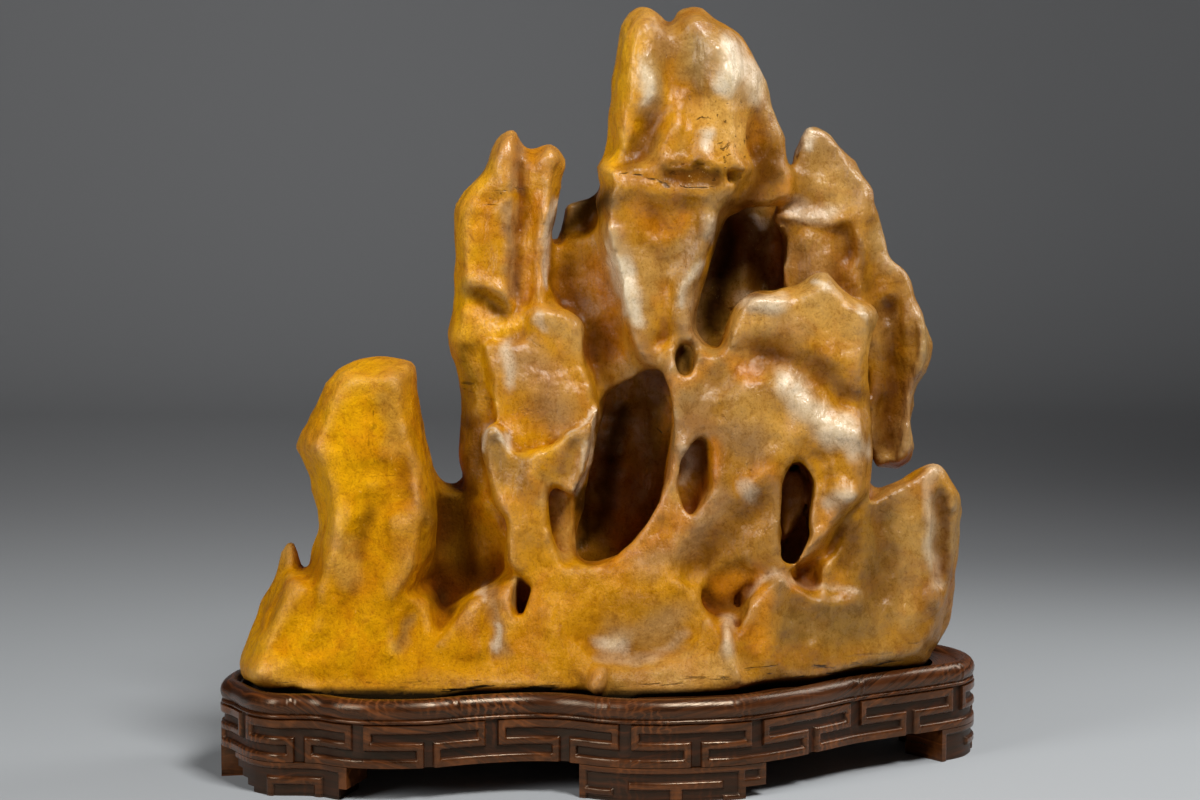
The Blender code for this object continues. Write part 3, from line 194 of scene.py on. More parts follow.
class Paint:
    """A material under construction."""

    def __init__(self, name: str) -> None:
        """Start a material with an empty tree.

        Args:
            name: The material's name.
        """
        self.material = bpy.data.materials.new(name)
        self.material.use_nodes = True
        self.tree = self.material.node_tree
        self.tree.nodes.clear()

    def node(self, kind: str, settings: dict | None = None, inputs: dict | None = None,
             output: int | str = 0) -> Signal:
        """Add a node.

        Args:
            kind: The node's type.
            settings: The node's own settings, set first.
            inputs: Values or Signals for its sockets, by name or number.
            output: Which output to return.

        Returns:
            The chosen output.
        """
        made = self.tree.nodes.new(kind)
        for key, value in (settings or {}).items():
            setattr(made, key, value)
        for key, value in (inputs or {}).items():
            if isinstance(value, Signal):
                self.tree.links.new(value.socket, made.inputs[key])
            else:
                made.inputs[key].default_value = value
        return Signal(self, made.outputs[output])

    def places(self) -> Signal:
        """Return the object's own coordinates, in metres."""
        return self.node("ShaderNodeTexCoord", output="Object")

    def along(self, name: str) -> Signal:
        """Return a UV map's coordinates."""
        return self.node("ShaderNodeUVMap", {"uv_map": name})

    def scaled(self, vector: Signal, scale: tuple[float, float, float]) -> Signal:
        """Stretch coordinates.

        Args:
            vector: The coordinates.
            scale: The factor along each axis.

        Returns:
            The stretched coordinates.
        """
        return self.node("ShaderNodeVectorMath", {"operation": "MULTIPLY"}, {0: vector, 1: scale})

    def attribute(self, name: str, output: str = "Fac") -> Signal:
        """Return what a mesh attribute holds."""
        return self.node("ShaderNodeAttribute", {"attribute_name": name}, output=output)

    def noise(self, vector: Signal, scale: float, detail: float = 3.0, roughness: float = 0.5,
              distortion: float = 0.0) -> Signal:
        """Return noise from 0 to 1.

        Args:
            vector: The coordinates.
            scale: Lumps in a metre.
            detail: How many finer layers there are.
            roughness: How strong the finer layers are.
            distortion: How far the noise is bent.

        Returns:
            The noise.
        """
        return self.node("ShaderNodeTexNoise", {"noise_dimensions": "3D"},
                         {"Vector": vector, "Scale": scale, "Detail": detail,
                          "Roughness": roughness, "Distortion": distortion})

    def cells(self, vector: Signal, scale: float, feature: str = "F1") -> Signal:
        """Return the distance in a pattern of irregular cells.

        Args:
            vector: The coordinates.
            scale: Cells in a metre.
            feature: Which distance.

        Returns:
            The distance.
        """
        return self.node("ShaderNodeTexVoronoi", {"feature": feature},
                         {"Vector": vector, "Scale": scale}, output="Distance")

    def blend(self, share: object, first: object, second: object,
              mode: str = "MIX") -> Signal:
        """Blend two colours.

        Args:
            share: How much of the second colour there is.
            first: A colour or a Signal.
            second: A colour or a Signal.
            mode: The way of blending.

        Returns:
            The blended colour.
        """
        return self.node("ShaderNodeMix", {"data_type": "RGBA", "blend_type": mode},
                         {0: share, 6: first, 7: second}, output=2)

    def bump(self, height: Signal, strength: float, distance_m: float,
             under: Signal | None = None) -> Signal:
        """Turn a height into a bent normal.

        Args:
            height: The height, from 0 to 1.
            strength: How much of it shows.
            distance_m: What a height of 1 stands for, in metres.
            under: Another normal that this one adds to.

        Returns:
            The normal.
        """
        inputs = {"Strength": strength, "Distance": distance_m, "Height": height}
        if under is not None:
            inputs["Normal"] = under
        return self.node("ShaderNodeBump", inputs=inputs)

    def finish(self, inputs: dict, waxed: dict | None = None,
               share: Signal | None = None) -> bpy.types.Material:
        """Close the material with a Principled shader, or with two that are mixed.

        Args:
            inputs: Values or Signals for the shader's sockets.
            waxed: What is different on the second shader.
            share: How much of the second shader there is.

        Returns:
            The finished material.
        """
        shader = self.node("ShaderNodeBsdfPrincipled", inputs=inputs)
        if waxed is not None:
            second = self.node("ShaderNodeBsdfPrincipled", inputs={**inputs, **waxed})
            shader = self.node("ShaderNodeMixShader", inputs={0: share, 1: shader, 2: second})
        self.node_out(shader)
        return self.material

    def node_out(self, shader: Signal) -> None:
        """Join a shader to the material's output."""
        out = self.tree.nodes.new("ShaderNodeOutputMaterial")
        self.tree.links.new(shader.socket, out.inputs["Surface"])


@dataclass(frozen=True)
class PolishedStone:
    """Waxed ochre stone: cloudy colour, ridges made paler by wear and by painted highlight, painted shade in dark
    deep hollows, in cavities and on its lowest band, pits and cracks.
    """

    cloud_scale: float = 38.0
    mottle_scale: float = 150.0
    grain_scale: float = 900.0
    roughness: float = 0.62
    name: str = "stone"

    def material(self) -> bpy.types.Material:
        """Build the finish.

        Returns:
            The stone's material.
        """
        paint = Paint(self.name)
        places = paint.places()
        cloud = paint.noise(places, self.cloud_scale, 4, 0.55, 0.8)
        mottle = paint.noise(places, self.mottle_scale, 6, 0.62, 0.5)
        grain = paint.noise(places, self.grain_scale, 3, 0.7)
        ridge = paint.attribute("ridge")
        crest = paint.attribute("crest")
        hollow = paint.attribute("hollow")
        depth = paint.attribute("depth")
        tint = paint.attribute("tint", "Color")
        sheen = paint.attribute("sheen")
        pits = self._pits(paint, places)
        cracks = self._cracks(paint, places)
        colour = self._colour(paint, tint, cloud, mottle, grain)
        # Ridges and crests are painted paler, partly as wear and partly as painted highlight; the sheen touches
        # add painted highlight in the same pale cream.
        worn = (ridge * 0.08 + crest * 0.1 + sheen * 0.3).least(0.7) * (0.4 + mottle * 0.8)
        colour = paint.blend(worn, colour, from_srgb(228, 200, 150))
        # Painted shade: creases and hollows are darkened, and deep cavities darker still.
        colour = paint.blend((hollow * 0.9).least(0.9), colour, from_srgb(160, 108, 46), "MULTIPLY")
        colour = paint.blend(depth.least(0.95), colour, from_srgb(128, 76, 34), "MULTIPLY")
        colour = paint.blend(pits * 0.8, colour, from_srgb(52, 30, 10))
        # Cracks are the stone's own dark lines; its lowest band is painted near-black as the shadow where it sits
        # in the stand's socket.
        colour = paint.blend((cracks + paint.attribute("foot")).least(1.0), colour,
                             from_srgb(16, 10, 6))
        roughness = (self.roughness + (mottle - 0.5) * 0.3 + (grain - 0.5) * 0.2 + pits * 0.3
                     + cracks * 0.3 + depth * 0.2 - sheen * 0.08
                     + paint.attribute("foot") * 0.4)
        polish = paint.attribute("polish")
        normal = self._relief(paint, places, cloud, (mottle * 0.6 + grain * 0.4), polish, pits + cracks)
        worn_bright = polish * 0.6 + sheen * 0.6 + crest * 0.3 + ridge * 0.3
        wax = worn_bright * (0.4 + mottle.step(0.36, 0.6) * 0.6) * tint.step(0.03, 0.12)
        matte = {"Base Color": colour, "Roughness": roughness.most(0.4).least(0.95),
                 "Normal": normal, "IOR": 1.5, "Specular IOR Level": 0.22,
                 "Specular Tint": (1.0, 0.62, 0.15, 1.0)}
        waxed = {"Roughness": (roughness - 0.32).most(0.2).least(0.55), "Specular IOR Level": 0.85,
                 "Specular Tint": (1.0, 0.96, 0.91, 1.0)}
        dull = depth + hollow * 0.4 + paint.attribute("pitted") * 0.5 + paint.attribute("foot") * 2.0
        return paint.finish(matte, waxed, (wax - dull).most(0.0).least(1.0))

    def _colour(self, paint: Paint, tint: Signal, cloud: Signal, mottle: Signal,
                grain: Signal) -> Signal:
        """Break the painted tint up into clouds, mottles and grains.

        Args:
            paint: The material under construction.
            tint: The colour painted on the stone.
            cloud: Large noise.
            mottle: Middling noise.
            grain: Fine noise.

        Returns:
            The colour before wear.
        """
        streak = paint.noise(paint.scaled(paint.places(), (1.0, 1.0, 0.4)), 110.0, 7, 0.68, 1.2)
        warm = paint.blend(cloud.step(0.48, 0.64) * 0.45, tint, from_srgb(236, 204, 160), "MULTIPLY")
        deep = paint.blend(streak.step(0.52, 0.34) * 0.4, warm, from_srgb(206, 184, 140), "MULTIPLY")
        light = paint.blend(mottle.step(0.52, 0.7) * 0.4 + grain.step(0.58, 0.7) * 0.2, deep,
                            from_srgb(150, 150, 120), "DODGE")
        dark = paint.blend(mottle.step(0.5, 0.3) * 0.5, light, from_srgb(190, 168, 124), "MULTIPLY")
        fine = paint.blend(grain.step(0.5, 0.34) * 0.5, dark, from_srgb(196, 180, 150), "MULTIPLY")
        flecks = grain.step(0.6, 0.7) * mottle.step(0.5, 0.64) * streak.step(0.48, 0.6)
        return paint.blend(flecks * 0.4, fine, from_srgb(236, 204, 140))

    def _pits(self, paint: Paint, places: Signal) -> Signal:
        """Return small dark pits, thick where the stone is painted pitted.

        Args:
            paint: The material under construction.
            places: The object's coordinates.

        Returns:
            The share of pit.
        """
        small = paint.cells(places, 420.0).step(0.2, 0.08) * paint.noise(places, 60, 2).step(0.58, 0.72)
        pitted = paint.attribute("pitted")
        large = paint.noise(places, 230.0, 3, 0.7, 0.6).step(0.6, 0.68) * pitted
        return (small * (0.25 + pitted) + large).least(1.0)

    def _cracks(self, paint: Paint, places: Signal) -> Signal:
        """Return dark layered cracks where the stone is painted layered.

        Args:
            paint: The material under construction.
            places: The object's coordinates.

        Returns:
            The share of crack.
        """
        layers = paint.noise(paint.scaled(places, (0.16, 0.16, 1.6)), 260.0, 4, 0.62, 0.5)
        layered = paint.attribute("layered")
        seam = paint.attribute("seam")
        broken = paint.noise(places, 140.0, 3, 0.6)
        return (layers.step(0.585, 0.63) * layered
                + seam.step(0.55, 0.9) * broken.step(0.36, 0.46)).least(1.0)

    def _relief(self, paint: Paint, places: Signal, cloud: Signal, grit: Signal, polish: Signal,
                pits: Signal) -> Signal:
        """Add the dents, ripples, scratches and pits that the light catches.

        Args:
            paint: The material under construction.
            places: The object's coordinates.
            cloud: Large noise.
            grit: Middling and fine noise.
            polish: How worn smooth the stone is.
            pits: The share of pit or crack.

        Returns:
            The bent normal.
        """
        dents = paint.noise(places, 85.0, 2, 0.45)
        ripples = paint.noise(paint.scaled(places, (1.0, 1.0, 0.45)), 170.0, 2, 0.5, 0.6)
        scratches = paint.noise(paint.scaled(places, (1.0, 1.0, 0.28)), 620.0, 2, 0.6)
        rolling = paint.bump(dents * 0.8 + cloud * 0.2, 0.6, 0.004)
        rippled = paint.bump(ripples, 0.35, 0.0022, rolling)
        fine = paint.bump((grit + scratches * 0.4) * (1.0 - polish * 0.5), 0.8, 0.0014, rippled)
        return paint.bump(pits * -1.0, 0.7, 0.0012, fine)


@dataclass(frozen=True)
class Rosewood:
    """Dark oiled rosewood: grain along the carving, darker recesses, worn ribs, and a painted near-black shadow
    on the socket floor under the stone.
    """

    name: str = "wood"
    deep: Colour = (30, 12, 3)
    middle: Colour = (70, 34, 11)
    light: Colour = (118, 62, 22)
    roughness: float = 0.29

    def material(self) -> bpy.types.Material:
        """Build the finish.

        Returns:
            The wood's material.
        """
        paint = Paint(self.name)
        along = paint.along("grain")
        places = paint.places()
        figure = paint.noise(places, 26.0, 2, 0.5)
        bent = paint.node("ShaderNodeVectorMath", {"operation": "ADD"}, {
            0: along, 1: paint.scaled(paint.node("ShaderNodeTexNoise", None,
                                                 {"Vector": places, "Scale": 45.0, "Detail": 2.0},
                                                 output=1), (0.0, 0.006, 0.0))})
        bands = paint.noise(paint.scaled(bent, (14.0, 420.0, 1.0)), 1.0, 4, 0.6, 0.4)
        pores = paint.noise(paint.scaled(bent, (90.0, 1900.0, 1.0)), 1.0, 2, 0.6)
        flame = paint.node("ShaderNodeTexWave", {"wave_type": "BANDS", "bands_direction": "X"},
                           {"Vector": paint.scaled(bent, (220.0, 600.0, 1.0)), "Scale": 0.35,
                            "Distortion": 6.0, "Detail": 2.0, "Detail Scale": 1.2}, output="Fac")
        crown = paint.attribute("crown")
        recess = paint.attribute("recess")
        worn = paint.noise(places, 70.0, 3, 0.6).step(0.5, 0.72)
        colour = paint.blend(bands.step(0.3, 0.62), from_srgb(*self.deep), from_srgb(*self.middle))
        colour = paint.blend(bands.step(0.54, 0.74) * 0.8, colour, from_srgb(*self.light))
        colour = paint.blend(flame.step(0.55, 0.95) * figure.step(0.5, 0.66) * 0.35, colour,
                             from_srgb(150, 84, 40))
        colour = paint.blend(pores.step(0.56, 0.7) * 0.6, colour, from_srgb(24, 12, 8))
        colour = paint.blend(crown * (0.06 + worn * 0.3), colour, from_srgb(146, 82, 36))
        colour = paint.blend(recess.least(0.9), colour, from_srgb(156, 126, 92), "MULTIPLY")
        # Painted shadow: the socket floor under the stone is made near-black.
        pocket = (recess - 1.0).most(0.0)
        colour = paint.blend(pocket.least(0.95), colour, from_srgb(6, 4, 3))
        roughness = self.roughness + (bands - 0.5) * 0.16 + recess.least(1.0) * 0.25 + pocket * 0.5 - crown * 0.05
        normal = paint.bump(bands * 0.45 + pores * 0.4, 0.35, 0.0006)
        return paint.finish({"Base Color": colour, "Roughness": roughness.most(0.15).least(0.9),
                             "Normal": normal, "IOR": 1.5, "Specular IOR Level": 0.62,
                             "Specular Tint": (1.0, 0.78, 0.56, 1.0)})


@dataclass(frozen=True)
class StudioPaper:
    """The matt grey paper that the object stands on, with painted shade that makes it darker further back and to
    the right.
    """

    name: str = "paper"
    floor: Colour = (167, 170, 172)
    middle: Colour = (150, 151, 153)
    wall: Colour = (172, 173, 175)
    shade: Colour = (150, 150, 151)

    def material(self) -> bpy.types.Material:
        """Build the finish."""
        paint = Paint(self.name)
        across = paint.node("ShaderNodeSeparateXYZ", None, {"Vector": paint.places()}, output=0)
        inward = paint.node("ShaderNodeSeparateXYZ", None, {"Vector": paint.places()}, output=1)
        # Painted light on the paper: darker between floor and wall, lighter again on the far wall, and painted
        # shade towards the right.
        colour = paint.blend(inward.step(0.25, 1.0), from_srgb(*self.floor), from_srgb(*self.middle))
        colour = paint.blend(inward.step(1.0, 2.4), colour, from_srgb(*self.wall))
        dim = across.step(-0.45, 0.7) * inward.step(0.15, 0.7) * (1.0 - inward.step(1.0, 2.3) * 0.7)
        colour = paint.blend(dim, colour, from_srgb(*self.shade), "MULTIPLY")
        return paint.finish({"Base Color": colour, "Roughness": 0.85})


class Curves:
    """Smooth curves through given points."""

    @staticmethod
    def _blend(before: np.ndarray, here: np.ndarray, after: np.ndarray, beyond: np.ndarray,
               t: float) -> np.ndarray:
        """Return the place a share t of the way from here to after."""
        return 0.5 * (2 * here + (after - before) * t
                      + (2 * before - 5 * here + 4 * after - beyond) * t ** 2
                      + (3 * here - before - 3 * after + beyond) * t ** 3)

    @classmethod
    def closed(cls, points: Sequence[Point], steps: int = 4) -> np.ndarray:
        """Return a smooth closed curve.

        Args:
            points: The points that it passes through.
            steps: Samples for each point.

        Returns:
            The samples.
        """
        knots = np.array(points, dtype=float)
        around = (np.roll(knots, 1, 0), knots, np.roll(knots, -1, 0), np.roll(knots, -2, 0))
        rows = [cls._blend(*around, step / steps) for step in range(steps)]
        return np.stack(rows, axis=1).reshape(-1, 2)

    @classmethod
    def open(cls, points: Sequence[Point], steps: int = 4) -> np.ndarray:
        """Return a smooth open curve.

        Args:
            points: The points that it passes through.
            steps: Samples for each stretch.

        Returns:
            The samples.
        """
        knots = np.array(points, dtype=float)
        if len(knots) == 2:
            return knots
        padded = np.vstack([2 * knots[0] - knots[1], knots, 2 * knots[-1] - knots[-2]])
        rows = [cls._blend(*stretch, step / steps)
                for stretch in zip(padded, padded[1:], padded[2:], padded[3:])
                for step in range(steps)]
        return np.array(rows + [knots[-1]])


class Distances:
    """Distances in a plane and the melting of fields."""

    @staticmethod
    def to_line(across: np.ndarray, up: np.ndarray, line: np.ndarray) -> np.ndarray:
        """Return the distance to a chain of straight pieces, negative on its left."""
        nearest = np.full(across.shape, 1e9, dtype=np.float32)
        side = np.ones(across.shape, dtype=np.float32)
        for (ax, ay), (bx, by) in zip(line, line[1:]):
            dx, dy = bx - ax, by - ay
            share = ((across - ax) * dx + (up - ay) * dy) / max(dx * dx + dy * dy, 1e-9)
            share = np.clip(share, 0, 1)
            gap = (across - ax - share * dx) ** 2 + (up - ay - share * dy) ** 2
            turn = np.where(dx * (up - ay) - dy * (across - ax) > 0, -1, 1)
            side = np.where(gap < nearest, turn, side)
            nearest = np.minimum(nearest, gap)
        return np.sqrt(nearest) * side

    @classmethod
    def to_outline(cls, across: np.ndarray, up: np.ndarray, outline: np.ndarray) -> np.ndarray:
        """Return the distance to a closed outline, negative inside it."""
        loop = np.vstack([outline, outline[:1]])
        inside = np.zeros(across.shape, dtype=bool)
        for (ax, ay), (bx, by) in zip(loop, loop[1:]):
            if ay != by:
                inside ^= (((ay > up) != (by > up))
                           & (across < (bx - ax) * (up - ay) / (by - ay) + ax))
        gap = np.abs(cls.to_line(across, up, loop))
        return np.where(inside, -gap, gap).astype(np.float32)

    @staticmethod
    def join(first: np.ndarray, second: np.ndarray, blend: float) -> np.ndarray:
        """Join two fields and round the corner between them."""
        near = np.maximum(blend - np.abs(first - second), 0) / blend
        return np.minimum(first, second) - near * near * blend * 0.25

    @classmethod
    def share(cls, first: np.ndarray, second: np.ndarray, blend: float) -> np.ndarray:
        """Keep what two fields share and round the corner between them."""
        return -cls.join(-first, -second, blend)

    @staticmethod
    def ease(value: np.ndarray, low: float, high: float) -> np.ndarray:
        """Rise smoothly from 0 at low to 1 at high."""
        t = np.clip((value - low) / (high - low), 0, 1)
        return t * t * (3 - 2 * t)


class Raster:
    """A map in the plane, kept as evenly spaced values."""

    def __init__(self, low: Point, step: float, size: tuple[int, int]) -> None:
        """Lay out an empty map.

        Args:
            low: Its lowest corner.
            step: The spacing.
            size: How many places it has each way.
        """
        self.low, self.step = low, step
        axes = [start + step * np.arange(count, dtype=np.float32) for start, count in zip(low, size)]
        self.across, self.up = np.meshgrid(*axes, indexing="ij")
        self.values = np.zeros(size, dtype=np.float32)

    def read(self, across: np.ndarray, up: np.ndarray) -> np.ndarray:
        """Read the map between its places."""
        column = np.clip((across - self.low[0]) / self.step, 0, self.values.shape[0] - 1.001)
        row = np.clip((up - self.low[1]) / self.step, 0, self.values.shape[1] - 1.001)
        i, j = column.astype(np.int32), row.astype(np.int32)
        s, t = column - i, row - j
        low = self.values[i, j] * (1 - s) + self.values[i + 1, j] * s
        high = self.values[i, j + 1] * (1 - s) + self.values[i + 1, j + 1] * s
        return low * (1 - t) + high * t


class Noise:
    """Noise that comes out the same on every run."""

    @staticmethod
    def hash(i: np.ndarray, j: np.ndarray, k: np.ndarray, seed: int) -> np.ndarray:
        """Return an unrepeating number from 0 to 1 for each whole place."""
        mixed = i * 73856093 ^ j * 19349663 ^ k * 83492791 ^ seed * 2654435761
        mixed = (mixed ^ (mixed >> 13)) * 1274126177
        return ((mixed ^ (mixed >> 16)) & 0xFFFFFF) / float(0xFFFFFF)

    @classmethod
    def smooth(cls, x: np.ndarray, y: np.ndarray, z: np.ndarray, size: float,
               seed: int) -> np.ndarray:
        """Return smooth noise from -1 to 1 with lumps of the given size."""
        scaled = [axis / size for axis in (x, y, z)]
        whole = [np.floor(axis).astype(np.int64) for axis in scaled]
        part = [axis - floor for axis, floor in zip(scaled, whole)]
        part = [share * share * (3 - 2 * share) for share in part]
        total = np.zeros(x.shape)
        for corner in range(8):
            shift = (corner & 1, corner >> 1 & 1, corner >> 2 & 1)
            weight = np.ones(x.shape)
            for share, moved in zip(part, shift):
                weight = weight * (share if moved else 1 - share)
            total += weight * cls.hash(*(w + s for w, s in zip(whole, shift)), seed)
        return total * 2 - 1

    @classmethod
    def scallops(cls, x: np.ndarray, y: np.ndarray, z: np.ndarray, size: float, seed: int,
                 reach: float = 0.45) -> np.ndarray:
        """Return round scoops that meet in crisp ridges, from 0 on a ridge to 1."""
        scaled = [axis / size for axis in (x, y, z)]
        whole = [np.floor(axis).astype(np.int64) for axis in scaled]
        nearest = np.full(x.shape, 9.0)
        for corner in range(27):
            cell = [w + s for w, s in zip(whole, (corner % 3 - 1, corner // 3 % 3 - 1,
                                                  corner // 9 - 1))]
            gap = sum((c + cls.hash(*cell, seed + axis) - p) ** 2
                      for axis, (c, p) in enumerate(zip(cell, scaled)))
            nearest = np.minimum(nearest, gap)
        return np.clip(1 - nearest / reach, 0, 1)


class StrokeShape(Enum):
    """How a stroke fades away from its line."""

    SHARP = "a crisp crest or a crisp bottom"
    SOFT = "melts into its surroundings"
    FOLD = "nearly flat flanks that meet in a crease"
    LIP = "a crease that is steep on the left as its line is followed"


@dataclass(frozen=True)
class Stroke:
    """One ridge, or hollow where the height is below zero, along a line on a lobe's front."""

    shape: StrokeShape
    height: float
    radius: float
    points: Sequence[Point]

    def relief(self, raster: Raster) -> np.ndarray:
        """Return how far the stroke lifts the front at each place of a map."""
        gap = Distances.to_line(raster.across, raster.up, Curves.open(self.points))
        if self.shape is StrokeShape.LIP:
            gap = np.where(gap < 0, gap / 0.25, gap)
        reach = np.clip(np.abs(gap) / self.radius, 0, 1)
        if self.shape is StrokeShape.SHARP:
            return self.height * (1 - reach) ** 2
        if self.shape is StrokeShape.SOFT:
            return self.height * (1 - reach ** 2) ** 2
        crest = 0.2
        drop = (np.hypot(reach, crest) - crest) / (np.hypot(1, crest) - crest)
        return self.height * (1 - drop)


def sharp(height: float, radius: float, points: Sequence[Point]) -> Stroke:
    """Return a crisp stroke."""
    return Stroke(StrokeShape.SHARP, height, radius, points)


def soft(height: float, radius: float, points: Sequence[Point]) -> Stroke:
    """Return a soft stroke."""
    return Stroke(StrokeShape.SOFT, height, radius, points)


def fold(height: float, radius: float, points: Sequence[Point]) -> Stroke:
    """Return a crease between nearly flat flanks."""
    return Stroke(StrokeShape.FOLD, height, radius, points)


def lip(height: float, radius: float, points: Sequence[Point]) -> Stroke:
    """Return a crease that is steep on the left as its line is followed."""
    return Stroke(StrokeShape.LIP, height, radius, points)


@dataclass(frozen=True)
class Lobe:
    """One swelling of the stone.

    Attributes:
        name: What the lobe is.
        depth: How far back its middle lies.
        front: How far it bulges forward, at its foot and at its top.
        back: How far it bulges back, at its foot and at its top.
        edge: The width of its rounded rim.
        blend: How softly it melts into the stone.
        lean: How fast its middle moves back towards the right.
        outline: Its outline in the front view.
        relief: The strokes on its front.
    """

    name: str
    depth: float
    front: Point
    back: Point
    edge: float
    blend: float
    lean: float
    outline: Sequence[Point]
    relief: Sequence[Stroke]


@dataclass(frozen=True)
class Hollow:
    """One cave or hole: its outline in the front view and how far back it reaches."""

    name: str
    back: float
    lean: float
    edge: float
    outline: Sequence[Point]


class Hue(Enum):
    """The stone's colours as seen on a screen: its own tones, a pale cream that is a painted highlight, and
    olive, brown, umber and dusk that are painted shade.
    """

    GOLD = (224, 160, 3)
    OCHRE = (196, 132, 2)
    ORANGE = (196, 122, 2)
    TAN = (200, 152, 76)
    KHAKI = (166, 126, 66)
    # A painted highlight.
    CREAM_HIGHLIGHT = (232, 216, 190)
    VIOLET = (160, 120, 74)
    GREYISH = (162, 132, 80)
    # Painted shade: olive, brown, umber and dusk.
    OLIVE_SHADE = (128, 94, 16)
    BROWN = (96, 52, 2)
    UMBER_SHADE = (40, 16, 2)
    DUSK_SHADE = (126, 94, 44)
    BRONZE = (156, 104, 22)


class Mark(Enum):
    """What else is painted on the stone."""

    PITTED = "pitted"
    LAYERED = "layered"
    SEAM = "seam"
    # Sheen makes the wax glossier and also paints a pale highlight into the colour.
    SHEEN = "sheen"


@dataclass(frozen=True)
class Touch:
    """One touch of a brush on the stone's front: what, how strong, how wide, and along which line."""

    kind: Hue | Mark
    strength: float
    radius: float
    points: Sequence[Point]

    def cover(self, u: np.ndarray, v: np.ndarray) -> np.ndarray:
        """Return how much of the touch lies on each place of the drawing."""
        line = Curves.open(self.points)
        low, high = line.min(0) - self.radius, line.max(0) + self.radius
        near = np.nonzero((u > low[0]) & (u < high[0]) & (v > low[1]) & (v < high[1]))
        share = np.zeros(u.shape)
        reach = np.clip(np.abs(Distances.to_line(u[near], v[near], line)) / self.radius, 0, 1)
        share[near] = self.strength * (1 - reach ** 2) ** 1.5
        return share


# The outlines of the stand and of the stone's foot, from above
STAND_PLAN = [
    (-190, -33), (-183, -46), (-176, -59), (-169, -68), (-159, -74), (-148, -74.5), (-138, -76),
    (-129, -82), (-116, -87), (-100, -88), (-83, -86), (-69, -80), (-54, -75), (-40, -72),
    (-26, -72), (-14, -76), (-3, -82), (10, -86), (28, -87), (48, -84), (62, -81), (76, -74),
    (94, -61), (110, -46), (124, -33), (140, -22), (156, -12), (172, -1), (184, 10), (190, 26),
    (187, 44), (177, 60), (162, 72), (145, 76), (130, 74), (115, 78), (98, 85), (78, 88),
    (58, 86), (42, 79), (26, 74), (8, 73), (-10, 78), (-28, 85), (-50, 88), (-72, 86),
    (-90, 79), (-106, 68), (-120, 56), (-134, 47), (-150, 40), (-166, 30), (-178, 14),
    (-187, -8),
]
ROCK_PLAN = [
    (-176, -10), (-178, -30), (-172, -47), (-156, -55), (-135, -64), (-110, -71), (-85, -71),
    (-66, -60), (-45, -58), (-28, -60), (-10, -57), (-3, -70), (7, -74), (16, -66), (40, -63),
    (66, -57), (82, -44), (106, -36), (124, -24), (148, -8), (163, 10), (166, 28), (156, 44),
    (132, 52), (100, 56), (60, 60), (20, 62), (-20, 58), (-60, 60), (-100, 62), (-134, 50),
    (-156, 30), (-170, 12),
]
# Recesses under the stone's edge: where, how wide and how high
UNDERCUTS = [(84, -46, 44, 4), (130, -24, 34, 5), (-174, -14, 12, 7), (-40, -60, 10, 2),
             (-150, -58, 14, 2), (5, -70, 12, -4)]
# One repeat of the fret: widths of its columns and their cells from the top, # raised
FRET_COLUMNS = [
    (4.0, "###.#"), (11.75, "#.#.#"), (11.75, "#.#.#"), (4.0, "#.###"), (5.25, "#...."),
    (4.0, "#.###"), (10.1, "#.#.#"), (10.15, "#.#.#"), (4.0, "###.#"), (7.0, "....#"),
]
# Each foot: its start along the plan, and the widths and cells of its columns
FEET = {
    "foot_left": (20.0, [
        (6, "#.   "), (6, "#..  "), (6, "#... "), (10, "#...."), (4, "#.###"), (20, "#.#.."),
        (4, "#.###"), (10, "#...."), (5, "###  "),
    ]),
    "foot_front": (206.0, [
        (3.5, "#####"), (14, "#..#."), (8, "#...."), (20, "#.#.."), (6, "#.###"), (20, "#.#.."),
        (8, "#...#"), (3.5, "#####"), (8, "#.#  "), (3.5, "###  "),
    ]),
    "foot_right": (418.0, [
        (3.5, "#####"), (16, "#...."), (20, "#.#.."), (6, "#.###"), (20, "#.#.."), (16, "#...."),
        (3.5, "#####"),
    ]),
    "foot_back_right": (640.0, [
        (3.5, "#####"), (16, "#...."), (20, "#.#.."), (6, "#.###"), (20, "#.#.."), (16, "#...."),
        (3.5, "#####"),
    ]),
    "foot_back_left": (846.0, [
        (3.5, "#####"), (16, "#...."), (20, "#.#.."), (6, "#.###"), (20, "#.#.."), (16, "#...."),
        (3.5, "#####"),
    ]),
}
